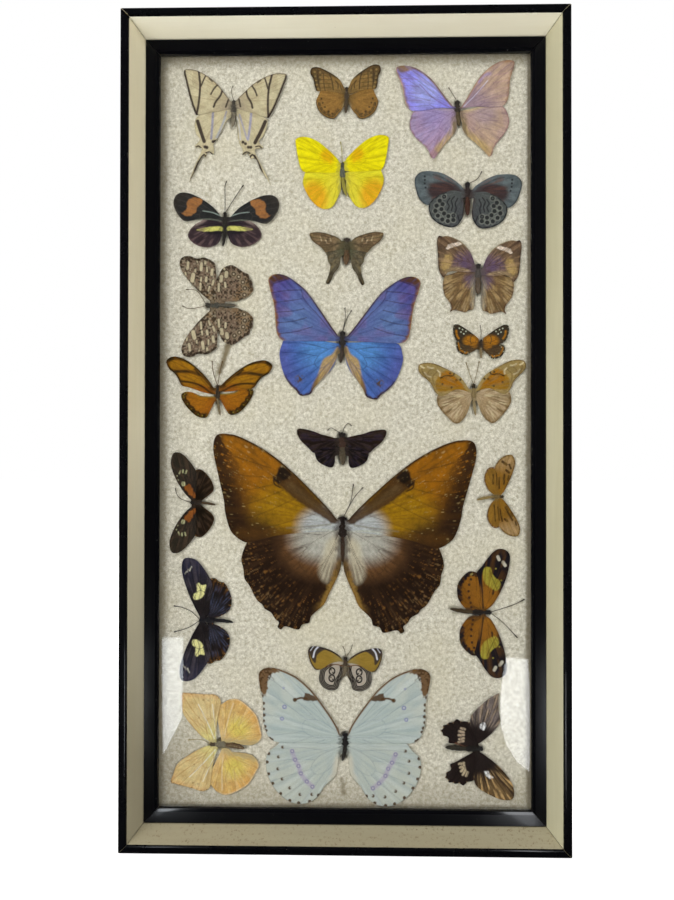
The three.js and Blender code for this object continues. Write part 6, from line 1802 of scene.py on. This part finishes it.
# this attribute darkens the cotton with real brown stains and with painted shade along the slips and towards the
# lower left
tone = cotton.blend(stain_and_shade, tone, "#6B5C3A")
cotton.set(Base_Color=tone, Roughness=0.95, Sheen_Weight=0.25, Sheen_Roughness=0.6)
cotton.bump(cotton.math("ADD", matted, fibre), 0.5, 0.7)
wadding = settled("cotton_wadding", cotton_bm, [cotton.material], 70)
stain_and_shade_layer = wadding.data.attributes.new("stain_and_shade", "FLOAT", "POINT")
flat = np.array([(v.co.x, v.co.z) for v in wadding.data.vertices]) / MM
ragged = 0.9 * (mottle(flat, 5, 5) - 0.5)
beside_left = flat[:, 0] - frame_left - SIGHT + ragged
beside_right = frame_right - SIGHT - flat[:, 0] + ragged
below_top = frame_top - SIGHT - flat[:, 1] + ragged
above_bottom = flat[:, 1] - frame_bottom - SIGHT + ragged
# painted shade where the slips shadow the cotton: a dark band below and on the right, a softer one opposite, and
# a broad darkening towards the bottom and the lower left corner
edge_painted_shade = np.maximum.reduce([
    0.75 * (1 - ramp(beside_left, -1, 6.5)),
    0.75 * (1 - ramp(beside_right, 0.8, 1.6 + 1.8 * ramp(-flat[:, 1], -frame_middle - 150, -frame_middle + 30))),
    0.65 * (1 - ramp(below_top, -1, 8)),
    0.6 * (1 - ramp(above_bottom, 0.3, 1.8)),
    0.3 * (1 - ramp(above_bottom, 2, 26)),
    0.4 * (1 - ramp(np.hypot(beside_left, above_bottom * 0.5), 10, 45)),
])
# a brown stain that has run down beside the grey butterfly, and faint ones low down
STAINS = [
    ([(-75.5, -197.9), (-76.8, -203.8), (-78.8, -210.3), (-81.4, -216.8)], 3.2, 0.9),
    ([(-1.6, -479.7), (-1, -484.2), (-0.3, -489.3)], 2.2, 0.5),
    ([(-61.1, -216.8), (-59.8, -224.6)], 2.6, 0.4),
]
stain = np.zeros(len(flat))
for path_points, width, strength in STAINS:
    away = to_path(flat, smooth_path(path_points))[0] * (0.7 + 0.6 * mottle(flat, 2.5, 8))
    stain = np.maximum(stain, strength * (1 - ramp(away, width * 0.2, width)))
stain_and_shade_layer.data.foreach_set("value", np.clip(edge_painted_shade + stain, 0, 0.9))
held(wadding, ["cotton_wadding"])


# The backing board: brown hardboard, smooth outside, its edges rounded a little.
board_low, board_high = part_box("backing_board")
board = Finish("hardboard")
flecks = board.noise(1.4, 5, roughness=0.75)
board_tone = board.blend(board.step(board.noise(70, 3), 0.35, 0.7), "#6E5136", "#5E432B")
board_tone = board.blend(board.step(flecks, 0.55, 0.75, (0, 0.6)), board_tone, "#8F7452")
board.set(Base_Color=board_tone, Roughness=board.step(flecks, 0.3, 0.7, (0.6, 0.8)))
board.bump(flecks, 0.06, 0.6)
backing = settled("backing_board", sheet_between(board_low, board_high, 0.5), [board.material])
held(backing, ["backing_board"])


# The glazier's points: flat steel slips pushed into the rails' rabbet to hold the board.
zinc = Finish("zinc_steel")
worn = zinc.noise(3.5, 4, roughness=0.7)
zinc_tone = zinc.blend(zinc.step(worn, 0.4, 0.7), "#A9AAA6", "#7E7F7B")
zinc_tone = zinc.blend(zinc.step(zinc.noise(1.2, 5), 0.68, 0.78, (0, 0.7)), zinc_tone, "#6B4A30")
zinc.set(Base_Color=zinc_tone, Metallic=0.9, Roughness=zinc.step(worn, 0.3, 0.7, (0.3, 0.5)))
zinc.bump(worn, 0.04, 0.6)
for name in sorted(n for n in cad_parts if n.startswith("glazing_point")):
    low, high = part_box(name)
    slip_of_steel = sheet_between(low, high, 0.12)
    # its free end is nipped to a point
    mid = (low + high) / 2
    if high.x - low.x > high.z - low.z:
        inward = Vector((math.copysign(1, -mid.x), 0, 0))
    else:
        inward = Vector((0, 0, math.copysign(1, frame_middle * MM - mid.z)))
    reach = max(high.x - low.x, high.z - low.z) / 2
    for v in slip_of_steel.verts:
        out = (v.co - mid).dot(inward) / reach
        if out > 0.9:
            across = v.co - mid - inward * (v.co - mid).dot(inward)
            v.co -= Vector((across.x, 0, across.z)) * 0.55
    held(settled(name, slip_of_steel, [zinc.material]), [name])


# The sawtooth hanger: a stamped strip, bowed off the wood between two nailed ends, teeth down.
def from_cad(name, bevel_width, material):
    """A CAD piece with its corners merged and every arris rounded."""
    bm = bmesh.new()
    bm.from_mesh(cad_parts[name].data)
    bmesh.ops.remove_doubles(bm, verts=bm.verts[:], dist=1e-6)
    bmesh.ops.dissolve_limit(bm, angle_limit=math.radians(2), verts=bm.verts[:], edges=bm.edges[:])
    sharp = [e for e in bm.edges if len(e.link_faces) == 2 and e.calc_face_angle(0) > math.radians(50)]
    bmesh.ops.bevel(
        bm, geom=sharp, offset=bevel_width * MM, segments=2, profile=0.5, affect="EDGES", material=-1,
        clamp_overlap=True,
    )
    return held(settled(name, bm, [material], 40), [name])


from_cad("sawtooth_hanger", 0.12, zinc.material)


def round_nail(name):
    """A round nail turned about its own axis, with a domed head."""
    low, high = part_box(name)
    middle = (low + high) / 2 / MM
    head_radius = (high.x - low.x) / 2 / MM
    back, front = high.y / MM, low.y / MM
    bm = bmesh.new()
    line = [(0, front), (0.5, front + 0.5), (0.7, front + 1.2), (0.7, back - 0.8), (head_radius, back - 0.8),
            (head_radius, back - 0.5), (head_radius * 0.6, back - 0.1), (0, back)]
    verts = [bm.verts.new((middle.x + r, y, middle.z)) for r, y in line]
    edges = [bm.edges.new(pair) for pair in zip(verts, verts[1:])]
    full_turn = 2 * math.pi
    bmesh.ops.spin(
        bm, geom=verts + edges, cent=middle, axis=(0, 1, 0), angle=full_turn, steps=20, use_merge=True
    )
    bmesh.ops.remove_doubles(bm, verts=bm.verts[:], dist=1e-4)
    bmesh.ops.scale(bm, vec=(MM, MM, MM), verts=bm.verts[:])
    return bm


for name in ("hanger_nail_left", "hanger_nail_right"):
    held(settled(name, round_nail(name), [zinc.material], 40), [name])


# The studio: a pale floor under the frame, a white surround, and soft lamps out of the glass's
# mirror, with two cards low down that the glass does mirror.
floor_bm = bmesh.new()
bmesh.ops.create_grid(floor_bm, x_segments=1, y_segments=1, size=6)
bmesh.ops.translate(floor_bm, vec=(0, 0, frame_bottom * MM - 0.001), verts=floor_bm.verts[:])
# it looks white and lights the frame from below, and stays dark to mirrors
pale = Finish("pale_floor")
path_kind = pale.add("LightPath")
floor_tone = pale.blend(path_kind.outputs["Is Glossy Ray"], "#E6E6E4", "#0A0A0A")
pale.set(Base_Color=floor_tone, Roughness=0.95, Specular_IOR_Level=0.0)
pale.set(Emission_Color=(1, 1, 1, 1), Emission_Strength=path_kind.outputs["Is Camera Ray"])
floor = settled("floor", floor_bm, [pale.material])

world = bpy.data.worlds.new("studio")
bpy.context.scene.world = world
world.use_nodes = True
sky = world.node_tree
seen = sky.nodes["Background"]
seen.inputs[0].default_value = (1, 1, 1, 1)
seen.inputs[1].default_value = 1.0
fill = sky.nodes.new("ShaderNodeBackground")
fill.inputs[1].default_value = 0.16
dim = sky.nodes.new("ShaderNodeBackground")
dim.inputs[1].default_value = 0.02
rays = sky.nodes.new("ShaderNodeLightPath")
lit_room = sky.nodes.new("ShaderNodeMixShader")
whole_room = sky.nodes.new("ShaderNodeMixShader")
sky.links.new(rays.outputs["Is Glossy Ray"], lit_room.inputs[0])
sky.links.new(fill.outputs[0], lit_room.inputs[1])
sky.links.new(dim.outputs[0], lit_room.inputs[2])
sky.links.new(rays.outputs["Is Camera Ray"], whole_room.inputs[0])
sky.links.new(lit_room.outputs[0], whole_room.inputs[1])
sky.links.new(seen.outputs[0], whole_room.inputs[2])
sky.links.new(whole_room.outputs[0], sky.nodes["World Output"].inputs["Surface"])


def soft_lamp(name, place, aim, size, power):
    data = bpy.data.lights.new(name, "AREA")
    data.shape = "RECTANGLE"
    data.size, data.size_y = size
    data.energy = power
    lamp = bpy.data.objects.new(name, data)
    lamp.location = place
    lamp.rotation_euler = (Vector(aim) - Vector(place)).to_track_quat("-Z", "Y").to_euler()
    lamp.visible_glossy = False
    lamp.visible_transmission = False
    bpy.context.scene.collection.objects.link(lamp)
    return lamp


heart = (0, 0, frame_middle * MM)
soft_lamp("lamp_low_right", (0.75, -1.1, -0.75), heart, (0.8, 0.8), 33)
soft_lamp("lamp_left", (-1.0, -0.9, -0.2), heart, (0.7, 1.0), 13.5)
soft_lamp("lamp_top", (0.1, -1.0, 0.9), heart, (1.2, 0.5), 8.3)
soft_lamp("lamp_behind", (-0.5, 1.3, 0.5), heart, (1.2, 1.2), 22)


def card(name, corners, strength, tint, rim):
    """A lit card that only mirrors show, dimming to nothing over its rim."""
    bm = bmesh.new()
    face = bm.faces.new([bm.verts.new(c) for c in corners])
    bmesh.ops.inset_region(bm, faces=[face], thickness=rim, use_even_offset=True, use_boundary=True)
    lit_share = [0.0 if v.is_boundary else 1.0 for v in bm.verts]
    glow = Finish(name)
    share = glow.add("Attribute", attribute_name="lit").outputs["Fac"]
    uneven = glow.step(glow.noise(90, 4, roughness=0.6), 0.35, 0.65, (0.65, 1.0))
    glow.set(Base_Color=(0, 0, 0, 1), Roughness=1.0, Specular_IOR_Level=0.0, Emission_Color=(*tint, 1))
    glow.set(Emission_Strength=glow.math("MULTIPLY", glow.math("MULTIPLY", share, uneven), strength))
    piece = settled(name, bm, [glow.material])
    piece.data.attributes.new("lit", "FLOAT", "POINT").data.foreach_set("value", lit_share)
    piece.visible_camera = False
    piece.visible_diffuse = False
    piece.visible_shadow = False
    return piece


CAMERA_AT = Vector((0.0024, -0.4506, -0.2704))
GLASS_Y = glass_low.y


def mirrored_card(name, places, depth, strength, tint):
    """A card placed so that the glass mirrors it at these places on the pane, in millimetres."""
    corners = []
    for x, z in places:
        on_glass = Vector((x * MM, GLASS_Y, z * MM))
        way = on_glass - CAMERA_AT
        way = Vector((way.x, -way.y, way.z)) / way.y
        corners.append(on_glass + way * depth)
    return card(name, corners, strength, tint, 0.0015)


GLARE_LEFT = [(-117.7, -388.8), (-104, -388.7), (-104.2, -416.5), (-104.5, -440.3), (-116.8, -464.3),
    (-117.5, -429.5)]
GLARE_RIGHT = [(103.9, -400.3), (117.7, -401.5), (119, -427.8), (118.6, -473.2), (110.6, -466.9),
    (104.2, -456.7), (100.4, -444.6), (99.8, -427.9), (101.1, -415.1)]
mirrored_card("window_left", GLARE_LEFT, 0.08, 6, (0.9, 0.95, 1.0))
mirrored_card("window_right", GLARE_RIGHT, 0.08, 6, (0.93, 0.96, 1.0))

# The camera: a phone held half a metre off, a little below the middle, all but square on.
lens = bpy.data.cameras.new("camera")
lens.lens = 27.04
lens.sensor_width = 36
lens.clip_start = 0.01
camera = bpy.data.objects.new("camera", lens)
camera.rotation_mode = "XYZ"
camera.location = CAMERA_AT
camera.rotation_euler = [math.radians(a) for a in (90.375, -0.064, 0.947)]
bpy.context.scene.collection.objects.link(camera)
bpy.context.scene.camera = camera

bpy.context.scene.view_settings.view_transform = "Standard"
